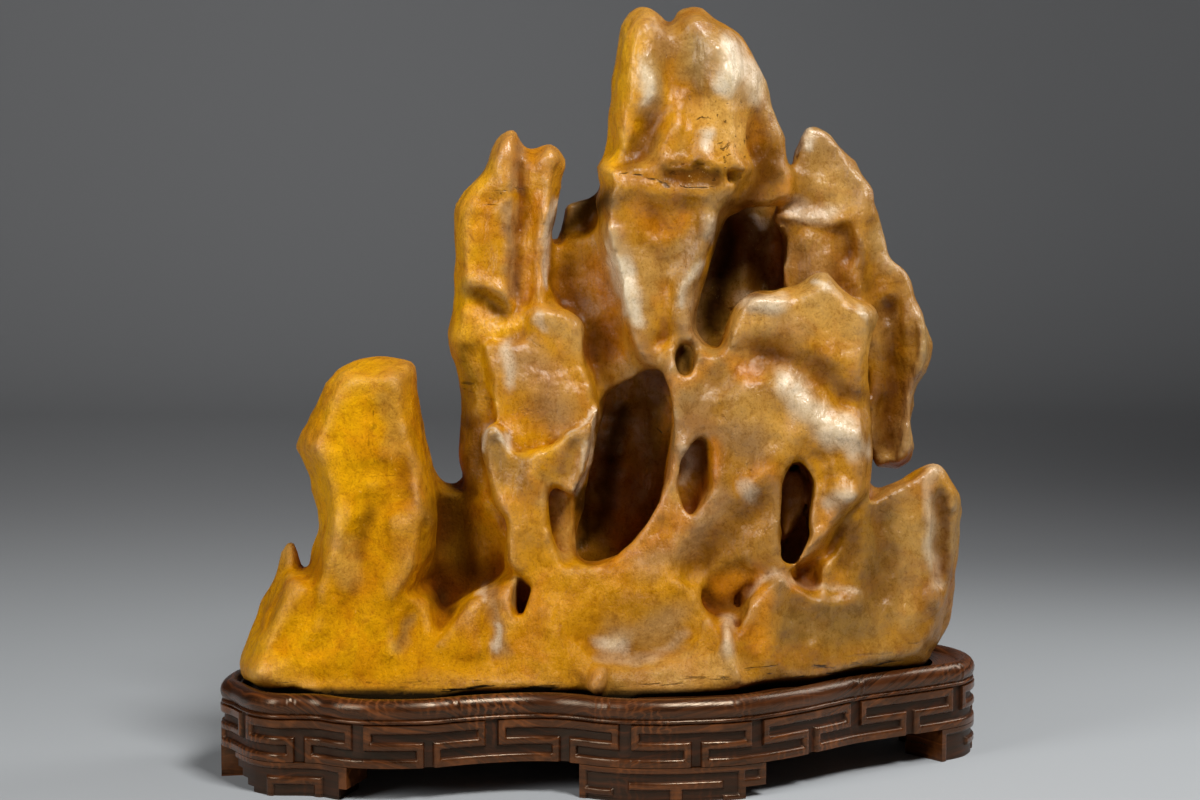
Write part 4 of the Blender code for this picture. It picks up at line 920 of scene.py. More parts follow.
# The stone, drawn in the front view as seen from the eye
MAIN_LOBES = [
    Lobe("left_apron", depth=-8, front=(54, 34), back=(46, 30), edge=11, blend=7, lean=0, outline=[
        (-182.5, 30), (-182, 54), (-181.8, 65.5), (-178.5, 75), (-171.5, 91), (-165.5, 105),
        (-159.5, 114), (-150, 117), (-120, 114), (-85, 107.5), (-75, 87.5), (-65, 70), (-62.5, 30)
    ], relief=[
        soft(-4, 9, [(-106, 69), (-100, 80), (-93, 92)]),
        soft(1.5, 9, [(-147, 112), (-157, 95.5), (-170.5, 80)]),
        soft(1.5, 8, [(-130, 100), (-139, 89), (-155, 72.5), (-169, 63)]),
        soft(1.2, 8, [(-116, 89), (-127.5, 75), (-150, 65)]),
        soft(-1.5, 7, [(-139, 101), (-150, 84), (-164, 72)]),
        soft(-1.5, 8, [(-124, 97), (-132.5, 84), (-145, 72.5)]),
        soft(-1.5, 8, [(-150, 64), (-110, 60)]),
        sharp(-2.5, 5, [(-141, 64), (-136, 53)]),
    ]),
    Lobe("left_peak", depth=-12, front=(44, 26), back=(36, 22), edge=11, blend=5, lean=0, outline=[
        (-150, 30), (-151, 100), (-145.5, 120), (-142.2, 135), (-143, 148), (-146, 161),
        (-151, 171.5), (-151.8, 178.5), (-146.5, 191), (-136.5, 211.5), (-127.5, 219.2),
        (-111.5, 222), (-100.5, 221), (-94, 219), (-91.5, 213.5), (-90.5, 202.5), (-87, 185),
        (-83.5, 169.5), (-81, 150), (-80, 140), (-83, 120), (-88, 105), (-94, 90), (-90, 30)
    ], relief=[
        soft(-4, 13, [(-114, 146), (-119, 135), (-124, 122)]),
        soft(2.5, 12, [(-127.5, 140), (-130, 120)]),
        soft(3, 13, [(-99, 140), (-101, 120), (-106, 105)]),
        soft(-3, 14, [(-97, 172), (-99, 160), (-102, 150)]),
        lip(3, 12, [(-106, 72.5), (-102, 85), (-94, 100), (-88, 117), (-85, 130), (-86, 142.5), (-91, 150.5)]),
        soft(-1, 6, [(-124, 163), (-98, 163.5)]),
        soft(-1.5, 8, [(-125, 98), (-130, 77.5)]),
        soft(1.5, 8, [(-114, 100), (-117, 77.5)]),
        soft(-1.5, 12, [(-127.5, 200), (-131, 180)]),
        soft(-1.5, 10, [(-104, 200), (-105, 180)]),
        sharp(-0.8, 3, [(-112.5, 194), (-114.5, 180), (-113.5, 166.5)]),
    ]),
    Lobe("left_spike", depth=-6, front=(16, 9), back=(12, 7), edge=6, blend=4, lean=0, outline=[
        (-169, 94), (-166, 106), (-162, 118.5), (-158.5, 126.5), (-156, 129.8), (-153, 129),
        (-150, 123.5), (-147.5, 114), (-145.5, 104), (-148, 96.5), (-157.5, 92)
    ], relief=[
        fold(2, 7, [(-155.5, 127.5), (-155, 116), (-156, 104)]),
    ]),
    Lobe("saddle", depth=8, front=(24, 16), back=(30, 20), edge=7, blend=6, lean=0, outline=[
        (-100, 180), (-89, 176), (-83, 165.5), (-79, 160.5), (-75, 158.8), (-69, 159.5),
        (-50, 165), (-35, 100), (-45, 70), (-85, 70), (-97.5, 100)
    ], relief=[
        soft(-4, 16, [(-74, 140), (-72, 105)]),
        soft(2, 10, [(-58, 150), (-55, 120)]),
    ]),
    Lobe("tall_slab", depth=0, front=(26, 16), back=(30, 18), edge=7, blend=6, lean=0, outline=[
        (-42.5, 80), (-47, 105), (-55, 130), (-64, 147.5), (-69.5, 159), (-71, 175), (-69, 197),
        (-72, 214.5), (-77, 230), (-74, 245), (-72.5, 255), (-74, 275), (-73, 295), (-66, 307.5),
        (-59.5, 316), (-55, 325), (-50, 332), (-43.5, 335), (-40.5, 331), (-35.5, 326.5),
        (-29.5, 328.5), (-24.5, 330.5), (-19, 327.5), (-16, 320.5), (-18.5, 312), (-19.5, 302.5),
        (-21.5, 290.5), (-23.5, 280), (-24.2, 264.5), (-21.5, 251), (-16, 244), (-10, 237.5),
        (-6, 220), (0, 204), (0, 180), (-7.5, 160), (-15, 120), (-20, 80)
    ], relief=[
        lip(-6.5, 14, [(-43, 251), (-41.5, 275), (-40, 297.5), (-40.5, 317.5), (-40, 329)]),
        lip(3.5, 9, [(-19, 307), (-24, 294), (-26, 275), (-27.5, 254)]),
        soft(2, 9, [(-46, 332), (-47.5, 316), (-47.5, 297.5), (-48.5, 275), (-49, 255)]),
        sharp(-2, 3.5, [(-55, 299), (-44, 303.5)]),
        soft(-2, 8, [(-57, 297.5), (-61, 289)]),
        soft(2, 14, [(-63, 290), (-66, 265)]),
        soft(2.5, 7, [(-46, 250), (-53, 256), (-61, 258), (-68, 253)]),
        soft(-4, 10, [(-64, 251), (-56, 247.5), (-50, 243)]),
        soft(2.5, 10, [(-61, 233), (-47.5, 234)]),
        soft(-2.5, 9, [(-69, 222.5), (-66, 200)]),
        soft(-5, 10, [(-64, 185), (-63, 155)]),
        sharp(-2, 4, [(-67, 208), (-57, 206.5)]),
    ]),
    Lobe("centre_mound", depth=0, front=(64, 42), back=(50, 34), edge=10, blend=7, lean=0, outline=[
        (-97.5, 30), (-97.5, 70), (-88, 85), (-79, 95), (-69, 105), (-58.5, 110.5), (-47.5, 117),
        (-35, 122), (-20, 124), (0, 124), (25, 124), (50, 112.5), (70, 80), (70, 30)
    ], relief=[
        soft(-4, 8, [(-51, 72), (-53.5, 82), (-55, 95), (-55.5, 106)]),
        soft(3, 14, [(-26, 94), (-22, 70)]),
        soft(-2, 10, [(-40, 80), (-40, 65)]),
        lip(-6, 22, [(47, 85), (36.5, 75), (21.5, 70), (6.5, 69.5), (-3, 74)]),
        soft(-2, 8, [(-77.5, 69), (-50, 64)]),
        soft(2, 12, [(-80, 80), (-69, 91), (-63, 100)]),
        soft(-2, 7, [(-20, 66), (-10, 55)]),
    ]),
    Lobe("trunk", depth=2, front=(28, 32), back=(38, 34), edge=6, blend=8, lean=0, outline=[
        (-1, 282), (0, 297.5), (3, 305), (3, 320), (70.5, 320), (69, 305), (62.5, 294), (61, 285),
        (57.5, 272), (52.5, 255), (50, 239), (52, 230), (49, 224), (42, 222), (34, 214), (25, 212),
        (18, 216), (12.5, 227.5), (9, 242), (5.5, 260)
    ], relief=[
        fold(3.5, 9, [(20, 224), (15, 237.5), (10, 255), (6.5, 270), (4.5, 282)]),
        soft(-3, 14, [(25, 289), (34, 280), (34, 269)]),
        soft(3, 8, [(54.5, 289), (54, 282)]),
        fold(3.5, 7, [(51, 274), (44, 264), (40, 255), (40, 242.5), (45, 232), (51, 229)]),
        soft(-3, 8, [(31, 257.5), (31, 232.5)]),
        soft(2, 9, [(20, 269), (23, 250), (25, 235)]),
        soft(1.2, 6, [(32, 305), (45, 304), (55, 305)]),
    ]),
    Lobe("head", depth=2, front=(31, 22), back=(34, 24), edge=10, blend=12, lean=0, outline=[
        (2, 297), (2.5, 308.5), (3.5, 323), (3.5, 338.5), (4.8, 350.5), (4.8, 359), (6, 372),
        (9, 384), (12.5, 391.5), (17.5, 396), (24, 397.5), (30.5, 394.8), (34.5, 390.5),
        (38, 394.5), (45, 397.5), (51.5, 395.5), (58.5, 389), (65, 384), (71, 376), (74, 362.5),
        (75.5, 350), (75.5, 338.5), (75.5, 323), (74, 312), (69, 303), (61, 297), (20, 295)
    ], relief=[
        soft(-6, 17, [(35.5, 395), (39, 377.5), (42, 354)]),
        fold(1, 4, [(35, 389), (39.5, 380), (40, 364)]),
        soft(2.5, 12, [(22, 385), (23, 365), (25, 348)]),
        soft(-7, 12, [(27.5, 342), (23.5, 333), (20, 325), (15, 317)]),
        soft(-3, 9, [(22.5, 319), (14, 315)]),
        soft(2.5, 9, [(38, 347), (35.5, 334), (34, 321)]),
        soft(-1.5, 8, [(70, 350), (61, 349.5), (52, 349.5)]),
        fold(1.8, 8, [(54, 374), (53.5, 361), (56, 353)]),
        soft(2.5, 10, [(62, 379), (66, 367), (69, 358)]),
        soft(2.5, 9, [(53, 335), (54, 325)]),
        soft(-1.5, 8, [(45, 342), (65, 338)]),
        sharp(-2.5, 4, [(11, 313), (20, 312), (30, 310)]),
        lip(-6.5, 9.5, [(30.5, 315), (36, 316.5), (45, 317), (53, 316.5), (58.5, 314.5)]),
    ]),
    Lobe("head_flank", depth=12, front=(10, 20), back=(20, 24), edge=9, blend=12, lean=0, outline=[
        (50, 388), (64.5, 384), (72.5, 377), (79, 371.5), (85, 360), (89.5, 345), (94, 335),
        (95.5, 325), (100, 312), (98, 297.5), (82, 293.5), (72, 294), (65, 297.5), (60, 310),
        (59, 340), (56, 370)
    ], relief=[
        soft(-3, 9, [(76, 340), (76, 315)]),
    ]),
    Lobe("front_plate", depth=-8, front=(36, 24), back=(30, 26), edge=7, blend=12, lean=0, outline=[
        (50, 229), (54.5, 227.5), (59, 228.5), (62, 238.5), (66, 247.5), (72, 254.5), (79, 257),
        (91, 257), (99, 258.5), (104, 262), (108, 264.2), (113.5, 264.2), (118.5, 260.5),
        (127.5, 252.5), (137, 249), (140.5, 241.5), (137.5, 229.5), (135.5, 210.5), (136.5, 189.5),
        (137, 172.5), (135.5, 155), (131, 146), (123, 138), (114, 127), (103, 116), (92, 110),
        (83, 104), (74, 94), (61, 75), (45, 50), (0, 50), (-27.5, 80), (-27.5, 100), (-17, 120),
        (0, 135), (15, 147.5), (24, 165), (25, 185), (25, 202.5), (27.5, 215), (34, 224), (42, 228)
    ], relief=[
        soft(-4, 14, [(56, 211), (71, 218.5), (82.5, 223)]),
        fold(-6, 14, [(79, 223), (92.5, 218.5), (106, 210), (119, 201), (134, 195)]),
        soft(3.5, 14, [(92.5, 207.5), (103, 198), (114, 189), (121, 183)]),
        soft(2.5, 9, [(122.5, 187.5), (131, 184)]),
        soft(2, 7, [(75, 250), (87.5, 248)]),
        soft(-1.5, 6, [(98.5, 250), (100, 244)]),
        soft(-1.5, 6, [(121.5, 248), (122, 240)]),
        soft(1.5, 6, [(41, 178), (41, 164), (43, 148)]),
        soft(2.5, 9, [(99, 182), (95, 174)]),
        soft(2.5, 10, [(85, 169), (78.5, 158), (71, 150)]),
        soft(-4, 14, [(78, 147), (64, 134), (51, 122)]),
        soft(3.5, 9, [(117.5, 155), (128, 151)]),
        soft(-4, 8, [(109, 169), (112, 155), (111, 139)]),
        soft(-2, 9, [(126, 230), (125, 214)]),
        soft(-2, 12, [(62.5, 190), (64, 172.5)]),
        soft(2, 14, [(72.5, 202.5), (74, 180)]),
        soft(-2, 16, [(20, 100), (45, 110)]),
        soft(2, 14, [(30, 120), (50, 132.5)]),
    ]),
    Lobe("right_valley", depth=11, front=(32, 26), back=(26, 20), edge=8, blend=8, lean=0, outline=[
        (78, 97), (90, 110), (103, 122), (113, 139), (120, 150), (135, 157), (142, 140),
        (138, 108), (125, 94), (95, 87), (78, 89)
    ], relief=[
        soft(3, 9, [(95, 105), (103, 115), (112, 127.5)]),
    ]),
    Lobe("right_peak", depth=26, front=(20, 14), back=(24, 16), edge=6, blend=5, lean=0, outline=[
        (87, 250), (86.5, 280), (81.5, 284.5), (81, 291), (84, 298.5), (88.5, 311), (94.5, 324.5),
        (96.5, 333), (99.5, 339), (104, 341.2), (111.5, 340.5), (118, 336.5), (124, 329),
        (130, 318.5), (136, 312), (139.5, 306), (140, 300), (142.5, 294), (145.5, 281), (148, 274),
        (156.5, 265), (160, 256), (163, 245), (166.5, 233.5), (168, 225.5), (165.5, 215),
        (160.5, 206), (159.5, 195), (159.5, 185), (160.5, 176.5), (157, 168.5), (149.5, 163.5),
        (143, 163), (137, 163), (130, 180), (125, 225), (100, 235)
    ], relief=[
        soft(-3, 16, [(117, 320), (116, 304)]),
        lip(2.2, 8, [(127, 291), (122, 289), (114.5, 287), (107.5, 289.5), (100, 289.5), (93, 291), (84, 292)]),
        fold(2.5, 7, [(136.5, 300), (132, 292.5), (130.5, 279), (130, 252)]),
        soft(-2.5, 9, [(121, 284), (124, 274)]),
        soft(1.5, 12, [(106, 276), (109, 257.5)]),
        soft(-3, 8, [(138, 285), (137, 255)]),
        lip(4, 9, [(149, 166.5), (152, 180), (154.5, 195), (157.5, 210.5), (161.5, 231.5), (159.5, 248.5)]),
        soft(-4, 9, [(144, 245), (147, 220), (145, 195), (143, 175)]),
        sharp(-2, 5, [(142, 169), (147, 165)]),
    ]),
    Lobe("right_shoulder", depth=16, front=(34, 26), back=(32, 22), edge=7, blend=5, lean=0.35, outline=[
        (106, 114), (114.5, 129.5), (118.5, 139), (123.5, 148), (134.5, 155), (147, 161.2),
        (157, 167), (165, 171.2), (172.5, 169.5), (179.5, 159.5), (183, 151.5), (182.5, 136),
        (179.5, 115), (177.5, 107), (174, 88), (168, 76.5), (165, 70), (160, 30), (130, 30),
        (110, 80)
    ], relief=[
        lip(3, 10, [(106, 109), (115, 127.5), (118.5, 137.5), (124, 147)]),
        fold(4, 9, [(167, 169), (164.5, 157.5), (164, 145), (164.5, 130), (167, 113), (169, 100)]),
        soft(-2.5, 10, [(140, 140), (141, 105)]),
        soft(2, 9, [(152.5, 153), (154, 115)]),
        soft(1.5, 7, [(134, 150), (147, 157), (162, 166)]),
    ]),
    Lobe("toe", depth=-44, front=(30, 28), back=(30, 30), edge=6, blend=3, lean=0, outline=[
        (-10.5, 49), (-9.5, 58), (-6.5, 65), (-1.5, 69), (3.5, 68.5), (6.5, 64), (6, 56),
        (3.5, 50), (2, 44), (-7.5, 43)
    ], relief=[
    ]),
    Lobe("valley", depth=14, front=(28, 18), back=(20, 18), edge=7, blend=8, lean=-0.28, outline=[
        (-31, 286), (-22, 282.5), (-17, 284.5), (-9, 287.5), (3, 290.5), (12.5, 265), (20, 235),
        (45, 224), (36, 214), (25, 200), (12.5, 185), (0, 180), (-7.5, 197.5), (-15, 227.5),
        (-27.5, 250)
    ], relief=[
        soft(-2, 12, [(-12.5, 270), (-6, 240), (1, 210)]),
    ]),
    Lobe("dark_lobe", depth=24, front=(15, 15), back=(18, 18), edge=5, blend=5, lean=0, outline=[
        (-22.5, 279), (-22, 289), (-20, 298.5), (-13, 302.5), (-4, 305.5), (3, 311), (11, 305),
        (13, 280), (-5, 269)
    ], relief=[
    ]),
]

INNER_LOBES = [
    Lobe("plate", depth=-18, front=(15, 8), back=(24, 20), edge=4, blend=4, lean=0, outline=[
        (-60, 228.5), (-58, 231), (-51, 231.5), (-44.5, 230.5), (-39.5, 232.5), (-37.5, 243),
        (-31.5, 247.8), (-20, 246.2), (-12.5, 243), (-8, 238), (-7, 228.5), (-5.5, 219.5),
        (-2, 209.5), (-1, 200), (-3, 190), (-5, 177), (-13, 167), (-24, 162), (-35, 162),
        (-45, 167), (-51.5, 178), (-54, 191), (-55.5, 201.5), (-58.5, 215)
    ], relief=[
        soft(2, 10, [(-35, 244), (-21, 241)]),
        soft(1.5, 9, [(-47.5, 225), (-45, 207.5)]),
        soft(2, 13, [(-36, 207), (-19, 199)]),
        soft(-1.5, 8, [(-37.5, 227.5), (-26, 219), (-11, 221)]),
        sharp(-1.5, 3, [(-38, 235), (-34, 227.5), (-29, 224.5)]),
        soft(-1.5, 10, [(-44, 190), (-30, 192.5)]),
    ]),
    Lobe("bracket", depth=-30, front=(15, 11), back=(30, 26), edge=3, blend=3, lean=0, outline=[
        (-59.5, 173), (-58.8, 182), (-56, 187), (-52, 188.5), (-47.5, 183.5), (-43, 176),
        (-35, 175.5), (-25, 178.5), (-17, 184.5), (-7.5, 190), (-2.5, 199), (0, 195), (-2, 185),
        (-5, 173), (-6.5, 165), (-10, 156.5), (-11.5, 150.5), (-17, 152), (-22, 155.5),
        (-24.5, 152.5), (-25, 146), (-23, 133), (-17.5, 120.5), (-10.5, 108.5), (-2, 101),
        (-20, 97), (-35, 104), (-43, 113), (-47, 119), (-47, 127.5), (-47.5, 140.5), (-52, 147),
        (-56.5, 160)
    ], relief=[
        soft(-2.5, 9, [(-51.5, 177), (-50, 164)]),
        soft(-2.5, 8, [(-12, 176), (-15, 164)]),
        soft(2.5, 9, [(-33.5, 172), (-35, 155), (-34, 135)]),
        fold(1.5, 3.5, [(-57.5, 181.5), (-52.5, 186.5), (-47.5, 182), (-44, 177)]),
        fold(1.5, 4, [(-17, 184), (-7.5, 189), (-3, 195)]),
        fold(1.5, 4, [(-3, 195), (-6, 180), (-8, 165), (-12, 153)]),
        lip(2.5, 5, [(-25.5, 147), (-23.5, 132.5), (-18, 120.5), (-11, 108.5), (-2.5, 100.5)]),
    ]),
    Lobe("ledge", depth=-8, front=(16, 14), back=(16, 16), edge=5, blend=4, lean=0, outline=[
        (-32.5, 155), (-25, 155), (-14, 154), (-11.5, 149), (-11.5, 135), (-11, 122), (-5, 110),
        (-20, 105), (-30, 120), (-32, 140)
    ], relief=[
    ]),
    Lobe("left_wall", depth=12, front=(14, 14), back=(26, 22), edge=5, blend=4, lean=0, outline=[
        (-22, 198), (-2, 200), (2, 202), (3, 196), (0.5, 184), (-1.5, 171), (-4.5, 160),
        (-7.5, 142.5), (-11, 126), (-20, 117), (-27.5, 150)
    ], relief=[
    ]),
    Lobe("rear_wall", depth=46, front=(10, 8), back=(16, 12), edge=14, blend=6, lean=0, outline=[
        (-24, 180), (-20, 210), (-16, 235), (-10, 260), (0, 292.5), (25, 305), (60, 314),
        (85, 316), (93, 316), (98.5, 305), (107.5, 290), (130, 270), (140, 235), (140, 190),
        (134, 140), (120, 80), (50, 70), (0, 80), (-27.5, 90), (-27.5, 140)
    ], relief=[
        fold(4, 12, [(20, 190), (27.5, 165), (15, 135)]),
        fold(3, 12, [(72.5, 282.5), (71, 250)]),
    ]),
    Lobe("inner_tongue", depth=0, front=(14, 12), back=(16, 14), edge=4, blend=3, lean=0, outline=[
        (88, 160), (92, 165), (98, 167), (103, 163), (105, 155), (103.5, 146), (99, 137),
        (94, 129), (88, 130)
    ], relief=[
    ]),
    Lobe("front_lump", depth=-6, front=(38, 32), back=(34, 30), edge=7, blend=8, lean=0.5, outline=[
        (50, 30), (54, 55), (61, 75), (65.5, 89), (69, 96), (74, 105), (81, 111.5), (86, 114.5),
        (92, 117), (97.5, 113.5), (104, 108.5), (111.5, 105), (125.5, 105), (134, 101), (141, 92),
        (146, 80), (149, 68), (149, 30)
    ], relief=[
        soft(2, 6, [(130, 103), (111.5, 103), (103, 106), (96, 111)]),
        soft(-2.5, 13, [(96, 96), (120, 89)]),
        soft(2.5, 9, [(89, 109), (88, 90), (85, 70)]),
        soft(1.5, 9, [(112, 100), (110, 75)]),
        soft(-1.5, 7, [(100, 95), (99, 72.5)]),
        soft(-1.5, 8, [(128, 97), (126, 72.5)]),
        soft(-2, 7, [(72, 85), (74, 66)]),
    ]),
    Lobe("lower_fold", depth=-20, front=(42, 37), back=(30, 30), edge=6, blend=4, lean=0, outline=[
        (-5, 30), (-4, 63), (6, 65), (21.5, 65), (38, 70), (50, 77), (57, 82), (59.5, 93),
        (64.5, 94.5), (69, 86), (72, 72.5), (74, 30)
    ], relief=[
        lip(4.5, 8, [(60, 93.5), (62.5, 84), (65.5, 74), (70, 62)]),
        soft(-3, 8, [(25, 62), (45, 66)]),
    ]),
]

HOLLOWS = [
    Hollow("cave", back=38, lean=0.0, edge=5, outline=[
        (4, 202), (13, 209), (24, 213.5), (30, 214.5), (33.5, 210), (35.5, 202), (35.5, 184.5),
        (33, 166.5), (28.5, 149), (20, 134), (9, 123), (0, 119), (-7, 119), (-12, 122), (-15, 129),
        (-14, 140), (-10, 155), (-6, 172.5), (-1.5, 187.5)
    ]),
    Hollow("small_hole", back=28, lean=0.0, edge=3, outline=[
        (42, 227.5), (45.5, 225), (46.5, 219.5), (45, 214), (41.5, 212), (38.5, 215),
        (37.5, 220.5), (39, 225)
    ]),
    Hollow("slot", back=-21, lean=-0.2, edge=4, outline=[
        (56, 180.5), (59.5, 176), (60, 162.5), (56.5, 150), (51, 142), (47, 148), (46, 162),
        (49.5, 174.5)
    ]),
    Hollow("side_hole", back=30, lean=-0.05, edge=3, outline=[
        (100, 168.5), (105.5, 162.5), (107, 154.5), (106.5, 139.5), (106.5, 131.5), (101.5, 121.5),
        (96.5, 118), (91.5, 122), (92, 135), (93, 154.5), (96, 164)
    ]),
    Hollow("pocket", back=-36, lean=0.1, edge=7, outline=[
        (49.5, 100), (51, 108), (56, 114.5), (64, 118.5), (73, 117.5), (83, 115), (87.5, 111.5),
        (82, 104), (75, 96), (69, 91), (60, 91), (53, 94.5)
    ]),
    Hollow("pocket_crack", back=-31, lean=0.1, edge=3, outline=[
        (66, 104), (72, 110), (81, 112.5), (85, 111), (78, 104), (71, 96), (65, 95)
    ]),
    Hollow("mound_slot", back=-30, lean=0.15, edge=2, outline=[
        (-43, 112.5), (-40.5, 113.5), (-38.5, 107.5), (-40, 100), (-42, 93), (-44.5, 94),
        (-45.5, 102.5)
    ]),
    Hollow("right_cavity", back=40, lean=0.0, edge=5, outline=[
        (63, 280), (69, 289), (75, 291.5), (80, 290), (82, 284), (87, 280), (88, 256.5), (76, 255),
        (67.5, 249), (62, 238), (58.5, 228.5), (53, 231.5), (51.5, 250), (57.5, 269)
    ]),
    Hollow("flute", back=0, lean=0.0, edge=7, outline=[
        (168.5, 156), (173.5, 153), (177, 142.5), (177, 130), (174, 114), (170, 106),
        (166.5, 117.5), (165.5, 132.5), (166, 146)
    ]),
    Hollow("eye_pit", back=-22, lean=0.0, edge=2, outline=[
        (65, 314), (68.5, 314.5), (70, 311.5), (67.5, 309.5), (64.5, 310.5)
    ]),
]
